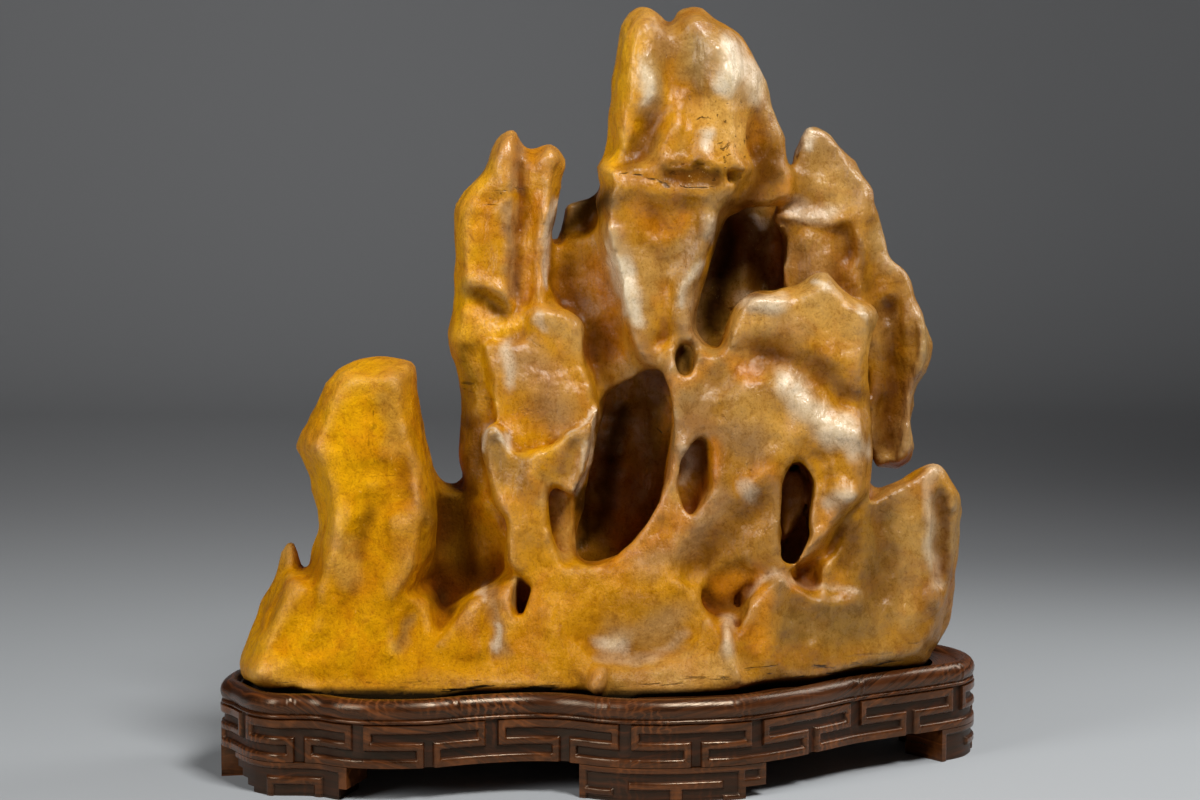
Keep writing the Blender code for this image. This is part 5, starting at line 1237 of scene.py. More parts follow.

# Colours and marks painted on the stone; among the colours are painted highlights and painted shade
TINTS: list[Touch] = [
    Touch(Hue.GOLD, 0.85, 26, [(-125, 210), (-127.5, 175), (-130, 135)]),
    Touch(Hue.GOLD, 0.7, 24, [(-169, 72.5), (-140, 80), (-115, 80)]),
    Touch(Hue.OCHRE, 0.6, 16, [(-75, 75), (-40, 70), (-20, 75)]),
    Touch(Hue.GREYISH, 0.3, 6, [(-107, 200), (-104, 175)]),
    Touch(Hue.BROWN, 0.5, 4, [(-90.5, 207.5), (-87.5, 185), (-82, 165)]),
    Touch(Hue.BROWN, 0.55, 6, [(-114, 144), (-119, 135), (-121.5, 125)]),
    Touch(Hue.GREYISH, 0.4, 8, [(-128.5, 127.5), (-126, 110)]),
    Touch(Hue.BROWN, 0.35, 7, [(-97, 170), (-99, 155)]),
    Touch(Hue.OLIVE_SHADE, 0.8, 16, [(-74, 150), (-69, 120)]),
    Touch(Hue.BROWN, 0.7, 9, [(-80, 147.5), (-81, 120), (-80, 100)]),
    Touch(Hue.UMBER_SHADE, 0.5, 6, [(-81, 104), (-77, 97)]),
    Touch(Hue.GREYISH, 0.5, 5, [(-95, 90), (-102, 76)]),
    Touch(Hue.GOLD, 0.85, 10, [(-58, 317.5), (-67, 285), (-70, 235)]),
    Touch(Hue.VIOLET, 0.9, 5, [(-40, 326), (-41.5, 305)]),
    Touch(Hue.VIOLET, 0.9, 6, [(-45, 294), (-43, 275), (-44, 254)]),
    Touch(Hue.ORANGE, 0.7, 5, [(-32, 300), (-32, 275), (-33, 255)]),
    Touch(Hue.CREAM_HIGHLIGHT, 0.7, 3, [(-21, 302), (-25, 292.5), (-26.5, 275), (-27.5, 256)]),
    Touch(Hue.BROWN, 0.6, 3.5, [(-23, 282), (-23.5, 265), (-20, 250)]),
    Touch(Hue.OLIVE_SHADE, 0.65, 8, [(-64, 254), (-55, 250), (-50, 244)]),
    Touch(Hue.GOLD, 0.85, 7, [(-56, 237.5), (-46, 233.5), (-39, 237)]),
    Touch(Hue.OLIVE_SHADE, 0.7, 8, [(-67, 225), (-65, 200), (-64, 175)]),
    Touch(Hue.BROWN, 0.8, 8, [(-64, 187.5), (-63, 172.5), (-65, 155)]),
    Touch(Hue.VIOLET, 0.8, 16, [(-40, 220), (-27.5, 210), (-22.5, 195)]),
    Touch(Hue.TAN, 0.6, 9, [(-27.5, 242.5), (-20, 235), (-12.5, 225)]),
    Touch(Hue.CREAM_HIGHLIGHT, 0.5, 5, [(-46, 226), (-44, 207.5)]),
    Touch(Hue.CREAM_HIGHLIGHT, 0.4, 4, [(-32.5, 243), (-30, 236)]),
    Touch(Hue.GOLD, 0.7, 3, [(-58, 227.5), (-56.5, 210), (-54, 190)]),
    Touch(Hue.DUSK_SHADE, 0.7, 9, [(-52, 180), (-50, 162)]),
    Touch(Hue.CREAM_HIGHLIGHT, 0.7, 2, [(-58.5, 177), (-56.5, 185), (-52, 187), (-47.5, 182), (-43.5, 175.5)]),
    Touch(Hue.CREAM_HIGHLIGHT, 0.7, 2, [(-17, 183.5), (-9, 188.5), (-3, 195.5)]),
    Touch(Hue.CREAM_HIGHLIGHT, 0.6, 2, [(-2, 194), (-5, 176), (-7, 166), (-11, 153)]),
    Touch(Hue.GOLD, 0.6, 4, [(-42, 174), (-34, 172), (-25, 175), (-18, 181)]),
    Touch(Hue.DUSK_SHADE, 0.5, 10, [(-13, 178), (-17, 164)]),
    Touch(Hue.GOLD, 0.5, 6, [(-37.5, 179), (-27.5, 179)]),
    Touch(Hue.DUSK_SHADE, 0.6, 8, [(-40, 169), (-38, 155)]),
    Touch(Hue.OCHRE, 0.8, 10, [(-36, 147.5), (-33, 125), (-20, 100)]),
    Touch(Hue.GREYISH, 0.5, 5, [(-26, 160), (-30, 150)]),
    Touch(Hue.TAN, 0.7, 6, [(-18.5, 147.5), (-17, 125)]),
    Touch(Hue.ORANGE, 0.9, 9, [(-1, 269), (4, 245), (10, 225)]),
    Touch(Hue.BROWN, 0.45, 8, [(-17, 269), (-12.5, 250), (-4, 226)]),
    Touch(Hue.UMBER_SHADE, 0.95, 11, [(-19, 287), (-11, 293), (-1, 299)]),
    Touch(Hue.CREAM_HIGHLIGHT, 0.9, 7, [(10, 268), (15, 255), (18.5, 241)]),
    Touch(Hue.VIOLET, 0.5, 7, [(8.5, 279), (14, 269)]),
    Touch(Hue.CREAM_HIGHLIGHT, 0.6, 3, [(5.5, 279), (8.5, 264), (12, 244)]),
    Touch(Hue.TAN, 0.5, 12, [(26, 265), (28, 245)]),
    Touch(Hue.ORANGE, 0.8, 11, [(20, 297.5), (29, 287), (41, 287)]),
    Touch(Hue.OCHRE, 0.8, 8, [(33, 255), (32, 227.5)]),
    Touch(Hue.CREAM_HIGHLIGHT, 0.6, 4, [(57, 289), (56, 283)]),
    Touch(Hue.GREYISH, 0.6, 7, [(50, 282), (45, 275)]),
    Touch(Hue.CREAM_HIGHLIGHT, 0.6, 4, [(48.5, 269), (43, 257.5), (40.5, 247.5)]),
    Touch(Hue.VIOLET, 0.65, 6, [(46, 255), (46, 240), (50, 230)]),
    Touch(Hue.GOLD, 1.0, 15, [(12, 382), (10, 350), (9, 320)]),
    Touch(Hue.OCHRE, 0.8, 9, [(19, 392), (27.5, 392)]),
    Touch(Hue.GREYISH, 0.5, 9, [(27.5, 370), (30, 355)]),
    Touch(Hue.CREAM_HIGHLIGHT, 0.8, 5, [(22.5, 366), (23.5, 352)]),
    Touch(Hue.VIOLET, 0.6, 8, [(27.5, 389), (36, 375)]),
    Touch(Hue.OCHRE, 0.85, 8, [(39, 365), (36.5, 350), (34, 330)]),
    Touch(Hue.BROWN, 0.7, 7, [(26, 340), (21, 330), (15, 317.5)]),
    Touch(Hue.GREYISH, 0.7, 9, [(48, 377.5), (46, 362.5)]),
    Touch(Hue.TAN, 0.8, 16, [(56, 345), (65, 335)]),
    Touch(Hue.CREAM_HIGHLIGHT, 0.9, 8, [(63.5, 377.5), (67, 367.5), (62, 357.5)]),
    Touch(Hue.CREAM_HIGHLIGHT, 0.6, 9, [(75, 365), (79, 352.5)]),
    Touch(Hue.CREAM_HIGHLIGHT, 0.7, 5, [(54, 333.5), (53, 327)]),
    Touch(Hue.KHAKI, 0.9, 9, [(83, 355), (89, 337.5)]),
    Touch(Hue.BROWN, 0.95, 9, [(84, 324), (78.5, 305), (71, 297)]),
    Touch(Hue.UMBER_SHADE, 1.0, 5, [(32, 314.5), (45, 315.5), (57.5, 314)]),
    Touch(Hue.BROWN, 0.95, 6, [(31, 312), (45, 312), (58, 311.5)]),
    Touch(Hue.KHAKI, 0.8, 20, [(110, 325), (120, 305)]),
    Touch(Hue.TAN, 0.6, 12, [(113, 310), (122.5, 300)]),
    Touch(Hue.CREAM_HIGHLIGHT, 0.7, 4, [(103.5, 335), (103, 327)]),
    Touch(Hue.ORANGE, 0.7, 5, [(87, 292.5), (92.5, 310)]),
    Touch(Hue.ORANGE, 0.7, 5, [(88, 283), (89.5, 264)]),
    Touch(Hue.CREAM_HIGHLIGHT, 0.4, 6, [(98.5, 296), (107.5, 293), (117.5, 294)]),
    Touch(Hue.KHAKI, 0.8, 14, [(106, 274), (111, 259)]),
    Touch(Hue.BROWN, 0.5, 6, [(121, 282.5), (124, 272)]),
    Touch(Hue.KHAKI, 0.9, 6, [(140, 286), (143, 265)]),
    Touch(Hue.BROWN, 0.5, 4, [(132, 280), (132, 255)]),
    Touch(Hue.BROWN, 0.9, 10, [(142, 242.5), (144, 210), (142.5, 180)]),
    Touch(Hue.KHAKI, 0.95, 4, [(162.5, 239), (164, 225), (159, 202.5), (155.5, 177.5)]),
    Touch(Hue.TAN, 0.7, 20, [(80, 240), (110, 245), (130, 235)]),
    Touch(Hue.VIOLET, 0.5, 10, [(87.5, 237.5), (100, 235)]),
    Touch(Hue.CREAM_HIGHLIGHT, 0.65, 7, [(73, 249), (81, 248), (90, 247)]),
    Touch(Hue.CREAM_HIGHLIGHT, 0.6, 4, [(107.5, 258), (113, 255)]),
    Touch(Hue.CREAM_HIGHLIGHT, 0.5, 3, [(130, 246), (134, 243)]),
    Touch(Hue.BROWN, 0.6, 6, [(84, 224), (102, 220), (124, 206), (133, 202)]),
    Touch(Hue.ORANGE, 0.6, 8, [(67.5, 219), (74, 212)]),
    Touch(Hue.CREAM_HIGHLIGHT, 0.7, 11, [(95, 206), (106, 194), (117.5, 184)]),
    Touch(Hue.CREAM_HIGHLIGHT, 0.6, 8, [(123, 188), (129, 175)]),
    Touch(Hue.CREAM_HIGHLIGHT, 0.4, 6, [(90, 214), (93, 210)]),
    Touch(Hue.TAN, 0.6, 14, [(70, 195), (90, 184)]),
    Touch(Hue.VIOLET, 0.7, 12, [(58, 186), (79, 177)]),
    Touch(Hue.VIOLET, 0.6, 10, [(50, 200), (45, 184)]),
    Touch(Hue.ORANGE, 0.6, 9, [(72.5, 160), (84, 165)]),
    Touch(Hue.ORANGE, 0.9, 6, [(37, 208), (34, 190), (33, 170), (26.5, 145), (10, 124), (0, 117)]),
    Touch(Hue.ORANGE, 0.7, 6, [(53, 219), (42, 209)]),
    Touch(Hue.ORANGE, 0.95, 5, [(56, 177), (54, 160), (51, 147.5)]),
    Touch(Hue.CREAM_HIGHLIGHT, 0.4, 3, [(43, 175), (42, 160)]),
    Touch(Hue.ORANGE, 0.5, 10, [(10, 112.5), (26, 126), (41, 140)]),
    Touch(Hue.VIOLET, 0.7, 10, [(25, 117.5), (45, 130), (60, 150)]),
    Touch(Hue.BROWN, 0.5, 9, [(45, 117), (64, 132), (76, 146)]),
    Touch(Hue.CREAM_HIGHLIGHT, 0.45, 5, [(72.5, 159), (76, 152.5)]),
    Touch(Hue.CREAM_HIGHLIGHT, 0.6, 6, [(115, 150), (123, 152)]),
    Touch(Hue.ORANGE, 0.8, 7, [(116, 140), (107.5, 122.5), (100, 110)]),
    Touch(Hue.TAN, 0.85, 7, [(96, 160), (98.5, 144)]),
    Touch(Hue.ORANGE, 0.8, 9, [(60, 107.5), (75, 110)]),
    Touch(Hue.BROWN, 0.5, 5, [(55, 101), (67.5, 97)]),
    Touch(Hue.ORANGE, 0.8, 9, [(82, 101), (79, 80)]),
    Touch(Hue.DUSK_SHADE, 0.85, 18, [(96, 88), (125, 87)]),
    Touch(Hue.CREAM_HIGHLIGHT, 0.35, 3, [(74, 104), (89, 114.5), (100, 108.5), (129, 104)]),
    Touch(Hue.CREAM_HIGHLIGHT, 0.45, 5, [(62, 90), (64.5, 72.5)]),
    Touch(Hue.TAN, 0.6, 10, [(30, 62), (50, 64), (67.5, 67.5)]),
    Touch(Hue.DUSK_SHADE, 0.6, 22, [(142.5, 135), (141, 105)]),
    Touch(Hue.BROWN, 0.6, 8, [(125, 135), (122.5, 119)]),
    Touch(Hue.TAN, 0.6, 9, [(152.5, 150), (155, 120), (152.5, 90)]),
    Touch(Hue.CREAM_HIGHLIGHT, 0.4, 5, [(168, 165), (164.5, 145), (164.5, 127.5), (168, 107.5)]),
    Touch(Hue.BROWN, 0.8, 6, [(171.5, 150), (173, 132.5), (171.5, 115)]),
    Touch(Hue.KHAKI, 0.7, 4, [(179.5, 150), (178, 120)]),
    Touch(Hue.VIOLET, 0.9, 6, [(-54, 105), (-53, 90), (-51, 74)]),
    Touch(Hue.CREAM_HIGHLIGHT, 0.6, 3, [(-53, 85), (-52, 75)]),
    Touch(Hue.CREAM_HIGHLIGHT, 0.5, 2.5, [(-58, 108), (-58, 101)]),
    Touch(Hue.GREYISH, 0.7, 3, [(-41.5, 110), (-42, 98)]),
    Touch(Hue.VIOLET, 0.6, 10, [(6, 85), (25, 85), (40, 95)]),
    Touch(Hue.OCHRE, 0.6, 12, [(0, 100), (20, 105), (45, 105)]),
    Touch(Hue.CREAM_HIGHLIGHT, 0.65, 6, [(1, 80), (10, 78)]),
    Touch(Hue.BROWN, 0.3, 8, [(7.5, 100), (25, 100)]),
    Touch(Hue.CREAM_HIGHLIGHT, 0.25, 4, [(0, 73), (10.5, 70.5), (28.5, 73), (42, 83)]),
    Touch(Hue.ORANGE, 0.7, 8, [(-2, 62), (-2.5, 52.5)]),
    Touch(Hue.UMBER_SHADE, 1.0, 12, [(66, 284), (63, 267), (55.5, 241)]),
    Touch(Hue.BROWN, 0.95, 10, [(73, 286), (75, 274), (78, 257.5)]),
    Touch(Hue.UMBER_SHADE, 0.9, 5, [(-8, 155), (-8.5, 140), (-9, 127.5)]),
    Touch(Hue.UMBER_SHADE, 0.9, 11, [(8, 190), (3, 160), (-2, 135)]),
    Touch(Hue.BRONZE, 0.8, 10, [(23, 202), (24, 175), (20, 150)]),
    Touch(Hue.UMBER_SHADE, 0.9, 4, [(42, 224), (43, 215)]),
]

MARKS: list[Touch] = [
    Touch(Mark.PITTED, 1.0, 14, [(50, 345), (67.5, 340), (65, 317.5)]),
    Touch(Mark.PITTED, 0.7, 7, [(27.5, 320), (45, 314), (67.5, 312.5)]),
    Touch(Mark.PITTED, 0.25, 20, [(-30, 200), (-30, 170)]),
    Touch(Mark.PITTED, 0.3, 9, [(58, 204), (75, 165)]),
    Touch(Mark.LAYERED, 1.0, 4, [(-177.5, 58.5), (-150, 55), (-135, 53.5)]),
    Touch(Mark.LAYERED, 1.0, 5, [(-135, 53), (-75, 55), (-40, 55), (-10, 53)]),
    Touch(Mark.LAYERED, 1.0, 6, [(12.5, 55), (50, 57), (72.5, 60)]),
    Touch(Mark.LAYERED, 1.0, 7, [(75, 62), (110, 65), (140, 68), (162.5, 72.5)]),
    Touch(Mark.LAYERED, 0.7, 6, [(-66, 208), (-57, 207)]),
    Touch(Mark.LAYERED, 0.6, 5, [(-54, 299.5), (-44, 303.5)]),
    Touch(Mark.SEAM, 0.7, 1.6, [(-112.5, 195), (-114.5, 180), (-113, 166)]),
    Touch(Mark.SEAM, 0.7, 1.6, [(-116.5, 162), (-107.5, 163.5), (-98, 163)]),
    Touch(Mark.SEAM, 0.85, 1.6, [(12, 313), (20, 311), (30, 308.5), (45, 307.5), (58, 308)]),
    Touch(Mark.SEAM, 0.66, 1.5, [(-38, 233), (-34, 227), (-28, 223)]),
    Touch(Mark.SEAM, 0.8, 2.0, [(-54, 299.5), (-44, 303.5)]),
    Touch(Mark.SEAM, 0.9, 2.0, [(27, 191), (33, 181.5)]),
    Touch(Mark.SHEEN, 1.0, 12, [(57, 375), (67.5, 355)]),
    Touch(Mark.SHEEN, 1.0, 9, [(22.5, 367), (25, 348)]),
    Touch(Mark.SHEEN, 1.0, 10, [(6, 280), (10, 260), (14, 244)]),
    Touch(Mark.SHEEN, 1.0, 12, [(100, 195), (117.5, 184)]),
    Touch(Mark.SHEEN, 1.0, 8, [(2.5, 80), (10, 82)]),
]


@dataclass
class StoneField:
    """A block of space filled with the distance to the stone's surface, negative inside it.

    Attributes:
        low: The block's lowest corner.
        size: Its size.
        step: Its grid's spacing.
        seat: The level that the stone rests on.
        edge_level: The level of the stone's lower edge.
        flare: How fast the stone may spread above that edge.
        margin: How far its foot stays inside the stand's outline.
    """

    low: tuple[float, float, float] = (-194.0, -84.0, 34.0)
    size: tuple[float, float, float] = (388.0, 170.0, 352.0)
    step: float = 2.2
    far: float = 60.0
    seat: float = 43.0
    edge_level: float = 48.0
    flare: float = 1.2
    margin: float = 11.5
    base_v: float = 50.0
    drawing_low: Point = (-198.0, 24.0)
    drawing_step: float = 1.5
    drawing_size: tuple[int, int] = (264, 256)

    def __post_init__(self) -> None:
        """Lay out the block and see where its places fall on the drawing."""
        self.axes = [low + self.step * np.arange(int(size / self.step) + 1, dtype=np.float32)
                     for low, size in zip(self.low, self.size)]
        self.x, self.y, self.z = np.meshgrid(*self.axes, indexing="ij")
        self.u, self.v = EYE.project(self.x, self.y, self.z)
        self.value = np.full(self.x.shape, self.far, dtype=np.float32)

    def _window(self, outline: np.ndarray, margin: float = 28.0) -> tuple[slice, slice, slice]:
        """Return the part of the block that an outline can reach."""
        low, high = outline.min(0) - margin, outline.max(0) + margin
        return (slice(*np.searchsorted(self.axes[0], (low[0], high[0]))), slice(None),
                slice(*np.searchsorted(self.axes[2], (low[1] - 6, high[1] + 6))))

    def _drawing(self) -> Raster:
        """Return an empty map of the drawing."""
        return Raster(self.drawing_low, self.drawing_step, self.drawing_size)

    @staticmethod
    def _pillow(distance: np.ndarray, offset: np.ndarray, edge: float,
                thickness: np.ndarray) -> np.ndarray:
        """Return the field of a pad whose rim lies between an ellipse and a wedge."""
        power = 1.5
        rim = np.maximum(0, 1 + distance / edge)
        height = np.sqrt((offset / thickness) ** 2 + 0.01 ** 2)
        length = (rim ** power + height ** power) ** (1 / power)
        slope = np.hypot(rim ** (power - 1) / edge, height ** (power - 1) / thickness)
        return length ** (power - 1) * (length - 1) / slope

    def add(self, lobe: Lobe) -> None:
        """Melt one lobe into the stone."""
        outline = Curves.closed(lobe.outline)
        place = self._window(np.array(lobe.outline))
        shape, relief = self._drawing(), self._drawing()
        shape.values = Distances.to_outline(shape.across, shape.up, outline)
        for stroke in lobe.relief:
            relief.values += stroke.relief(relief)
        u, v = self.u[place], self.v[place]
        lowest = max(outline[:, 1].min(), self.base_v)
        rise = np.clip((v - lowest) / (outline[:, 1].max() - lowest), 0, 1)
        middle = lobe.depth + lobe.lean * (u - outline[:, 0].mean())
        front = lobe.front[0] + (lobe.front[1] - lobe.front[0]) * rise + relief.read(u, v)
        back = lobe.back[0] + (lobe.back[1] - lobe.back[0]) * rise
        offset = self.y[place] - middle
        thickness = np.where(offset < 0, np.maximum(front, 2.0), back)
        made = self._pillow(shape.read(u, v), offset, lobe.edge, thickness)
        self.value[place] = Distances.join(self.value[place], made, lobe.blend)

    def cut(self, hollow: Hollow, front: float = -60.0, rounding: float = 3.0) -> None:
        """Take one hollow out of the stone."""
        place = self._window(np.array(hollow.outline))
        shape = self._drawing()
        shape.values = Distances.to_outline(shape.across, shape.up, Curves.closed(hollow.outline))
        inward = np.maximum(self.y[place] - front, 0)
        distance = shape.read(self.u[place] - hollow.lean * inward, self.v[place])
        hole = Distances.share(distance, self.y[place] - hollow.back, hollow.edge)
        self.value[place] = Distances.share(self.value[place], -hole, rounding)

    def weather(self, band: float = 12.0) -> None:
        """Wear the stone: scoops on its back, dimples in front and slight unevenness all over."""
        near = np.nonzero(np.abs(self.value) < band)
        x, y, z = self.x[near], self.y[near], self.z[near]
        behind = Distances.ease(y, 4, 26)
        depth = 5.0 * Noise.scallops(x, y, z, 44.0, 11) * behind
        depth += 2.5 * Noise.scallops(x, y, z, 22.0, 23) * behind
        depth += 1.8 * Noise.scallops(x, y, z * 0.7, 16.0, 31) * (1 - 0.4 * behind)
        depth += 0.7 * Noise.scallops(x, y, z * 0.7, 8.0, 37)
        depth += 1.0 * Noise.smooth(x, y, z, 26.0, 5)
        depth += 0.4 * Noise.smooth(x, y, z, 11.0, 7)
        depth += 0.25 * Noise.smooth(x, y, z, 6.0, 9)
        self.value[near] += (depth * Distances.ease(z, 56, 70)).astype(np.float32)

    def trim_foot(self, stand_plan: np.ndarray, undercut: float = 9.0) -> None:
        """Shape the underside: a flat seat, a raised edge and the foot's outline from above.

        Args:
            stand_plan: The stand's outline.
            undercut: How wide the raised edge is.
        """
        plan = Raster(self.low[:2], self.drawing_step, (264, 120))
        plan.values = np.maximum(
            Distances.to_outline(plan.across, plan.up, Curves.closed(ROCK_PLAN)),
            Distances.to_outline(plan.across, plan.up, stand_plan) + self.margin)
        distance = plan.read(self.x, self.y)
        spread = np.maximum(self.z - self.edge_level, 0) * self.flare
        self.value = Distances.share(self.value, distance - spread, 3.0)
        share = np.clip(1 + distance / undercut, 0, 1)
        underside = self.seat + (self.edge_level - self.seat) * share ** 2 * (3 - 2 * share)
        for x, y, radius, lift in UNDERCUTS:
            reach = np.clip(np.hypot(self.x - x, self.y - y) / radius, 0, 1)
            underside = underside + lift * (1 - reach ** 2) ** 2 * share
        ragged = 0.9 * Noise.smooth(self.x, self.y, self.z * 0, 9.0, 41) * share
        self.value = np.maximum(self.value, underside + ragged - self.z)
        self.plan = plan

    def mesh(self, name: str) -> bpy.types.Mesh:
        """Turn the field into a closed mesh in metres, without loose crumbs."""
        block = openvdb.FloatGrid(self.far)
        block.copyFromArray(np.ascontiguousarray(self.value))
        points, quads = block.convertToQuads(0.0)
        mesh = bpy.data.meshes.new(name)
        places = (points * self.step + np.array(self.low)) * MM
        mesh.from_pydata(places.tolist(), [], quads.tolist())
        bm = bmesh.new()
        bm.from_mesh(mesh)
        Bodies.keep_largest(bm)
        bm.to_mesh(mesh)
        bm.free()
        return mesh

    def filling(self, radius: float) -> np.ndarray:
        """Return how full of stone the surroundings of each place are, from 0 to 1.

        Args:
            radius: How far the surroundings reach.

        Returns:
            The share of stone; about a half on a flat face, less on a ridge, more in a hollow.
        """
        full = np.clip(0.5 - self.value / (2 * self.step), 0, 1).astype(np.float32)
        reach = max(1, round(radius / self.step))
        for axis in (0, 1, 2) * 2:
            full = self._smear(full, reach, axis)
        return full

    @staticmethod
    def _smear(values: np.ndarray, reach: int, axis: int) -> np.ndarray:
        """Average each place with its neighbours along one axis."""
        pad = [(0, 0)] * 3
        pad[axis] = (reach + 1, reach)
        total = np.cumsum(np.pad(values, pad, mode="edge"), axis=axis, dtype=np.float64)
        width = 2 * reach + 1
        high = np.take(total, range(width, total.shape[axis]), axis=axis)
        low = np.take(total, range(total.shape[axis] - width), axis=axis)
        return ((high - low) / width).astype(np.float32)

    def at(self, values: np.ndarray, places: np.ndarray) -> np.ndarray:
        """Read a block of values at places in the object's frame."""
        scaled = [np.clip((places[:, a] - self.low[a]) / self.step, 0, values.shape[a] - 1.001)
                  for a in range(3)]
        whole = [axis.astype(np.int32) for axis in scaled]
        part = [axis - floor for axis, floor in zip(scaled, whole)]
        total = np.zeros(len(places))
        for corner in range(8):
            shift = (corner & 1, corner >> 1 & 1, corner >> 2 & 1)
            weight = np.ones(len(places))
            for share, moved in zip(part, shift):
                weight = weight * (share if moved else 1 - share)
            total += weight * values[tuple(w + s for w, s in zip(whole, shift))]
        return total


class Bodies:
    """Work on the loose bodies of a mesh."""

    @staticmethod
    def keep_largest(bm: bmesh.types.BMesh) -> None:
        """Drop every loose crumb and closed bubble."""
        unseen = set(bm.verts)
        bodies = []
        while unseen:
            body, queue = [], [unseen.pop()]
            while queue:
                vert = queue.pop()
                body.append(vert)
                for edge in vert.link_edges:
                    other = edge.other_vert(vert)
                    if other in unseen:
                        unseen.remove(other)
                        queue.append(other)
            bodies.append(body)
        bodies.sort(key=len)
        for body in bodies[:-1]:
            bmesh.ops.delete(bm, geom=body, context="VERTS")


@dataclass
class Stone:
    """The one stone, with everything painted on it."""

    node: str = "rock"
    material: bpy.types.Material | None = None

    def build(self, stand_plan: np.ndarray) -> bpy.types.Object:
        """Carve the stone.

        Args:
            stand_plan: The stand's outline, which the stone's foot stays inside.

        Returns:
            The stone's object.
        """
        self.field = StoneField(step=2.0)
        for lobe in MAIN_LOBES:
            self.field.add(lobe)
        for hollow in HOLLOWS:
            self.field.cut(hollow)
        for lobe in INNER_LOBES:
            self.field.add(lobe)
        self.field.weather()
        self.field.trim_foot(stand_plan)
        mesh = self.field.mesh("stone")
        mesh.shade_smooth()
        self.piece = bpy.data.objects.new("stone", mesh)
        bpy.context.scene.collection.objects.link(self.piece)
        return self.piece

    def dress(self, finish: PolishedStone) -> None:
        """Paint the stone's colours and marks on its mesh and give it its finish."""
        mesh = self.piece.data
        count = len(mesh.vertices)
        places = np.empty(count * 3)
        normals = np.empty(count * 3, dtype=np.float32)
        mesh.vertices.foreach_get("co", places)
        mesh.vertex_normals.foreach_get("vector", normals)
        places = places.reshape(-1, 3) / MM
        normals = normals.reshape(-1, 3)
        fine = self.field.at(self.field.filling(4.0), places)
        broad = self.field.at(self.field.filling(11.0), places)
        deep = self.field.at(self.field.filling(26.0), places)
        # Crest and ridge mark where ridges are painted paler; hollow and depth mark where painted shade darkens
        # creases, hollows and deep cavities.
        self._store("crest", np.clip((0.44 - fine) * 6, 0, 1))
        self._store("ridge", np.clip((0.42 - broad) * 5, 0, 1))
        crease = np.clip((fine - 0.56) * 6, 0, 1)
        self._store("hollow", np.maximum(np.clip((broad - 0.53) * 4.5, 0, 1), crease))
        self._store("depth", np.clip((deep - 0.68) * 4, 0, 1))
        u, v = EYE.project(*places.T)
        u = u + 3.0 * Noise.smooth(*places.T, 11.0, 81) + 1.4 * Noise.smooth(*places.T, 5.0, 82)
        v = v + 3.0 * Noise.smooth(*places.T, 11.0, 83) + 1.4 * Noise.smooth(*places.T, 5.0, 84)
        facing = Distances.ease(-normals[:, 1], -0.35, 0.25)
        for mark in Mark:
            total = np.zeros(count)
            for touch in MARKS:
                if touch.kind is mark:
                    total = np.maximum(total, touch.cover(u, v))
            if mark is Mark.LAYERED:
                total = np.maximum(total, self._lower_edge(places))
                self._store(mark.value, total)
            else:
                self._store(mark.value, total * facing)
        upper = np.maximum(Distances.ease(v, 105, 150), Distances.ease(u, 50, 90))
        self._store("polish", Distances.ease(u, -70, -52) * (0.3 + 0.7 * upper))
        # The lowest band of the stone, painted near-black as shadow in the socket.
        self._store("foot", 1 - Distances.ease(places[:, 2], 48.0, 51.5))
        self._store_colour("tint", self._tint(places, u, v, facing))
        mesh.materials.clear()
        mesh.materials.append(finish.material())

    def _lower_edge(self, places: np.ndarray) -> np.ndarray:
        """Return where the dark layers of the stone's lower edge show, all round it."""
        low = 1 - Distances.ease(places[:, 2], 49, 56)
        return low * (0.5 + 0.5 * Noise.smooth(*places.T, 30.0, 61))

    def _tint(self, places: np.ndarray, u: np.ndarray, v: np.ndarray,
              facing: np.ndarray) -> np.ndarray:
        """Return the colour painted on each place: the stone's own tones with painted highlight and painted shade
        among them.
        """
        def linear(hue: Hue) -> np.ndarray:
            return np.array(from_srgb(*hue.value)[:3])

        x, y, z = places.T
        # Bronze towards the right: partly the stone's own tone, partly painted shade on that side.
        right = Distances.ease(x + 18 * Noise.smooth(x, y, z, 45.0, 71), -40, 50)[:, None]
        colour = linear(Hue.OCHRE) * (1 - right) + linear(Hue.BRONZE) * right
        cloud = Distances.ease(Noise.smooth(x, y, z, 34.0, 73), 0.05, 0.5)[:, None]
        colour = colour * (1 - 0.6 * cloud) + linear(Hue.OCHRE) * 0.6 * cloud
        grey = Distances.ease(Noise.smooth(x, y, z, 28.0, 75), 0.1, 0.55)[:, None] * right
        colour = colour * (1 - 0.6 * grey) + linear(Hue.KHAKI) * 0.6 * grey
        orange = Distances.ease(Noise.smooth(x, y, z, 40.0, 77), 0.15, 0.6)[:, None]
        behind = (1 - facing)[:, None]
        colour = colour * (1 - 0.5 * orange * behind) + linear(Hue.ORANGE) * 0.5 * orange * behind
        # The touches hold the stone's own patches, painted highlights in cream and painted shade in olive, brown,
        # umber and dusk.
        for touch in TINTS:
            share = (touch.cover(u, v) * facing)[:, None]
            colour = colour * (1 - share) + linear(touch.kind) * share
        return colour

    def _store(self, name: str, values: np.ndarray) -> None:
        """Keep one number for each point of the stone."""
        layer = self.piece.data.attributes.new(name, "FLOAT", "POINT")
        layer.data.foreach_set("value", values.astype(np.float32))

    def _store_colour(self, name: str, values: np.ndarray) -> None:
        """Keep one colour for each point of the stone."""
        layer = self.piece.data.attributes.new(name, "FLOAT_COLOR", "POINT")
        full = np.ones((len(values), 4), dtype=np.float32)
        full[:, :3] = values
        layer.data.foreach_set("color", full.ravel())


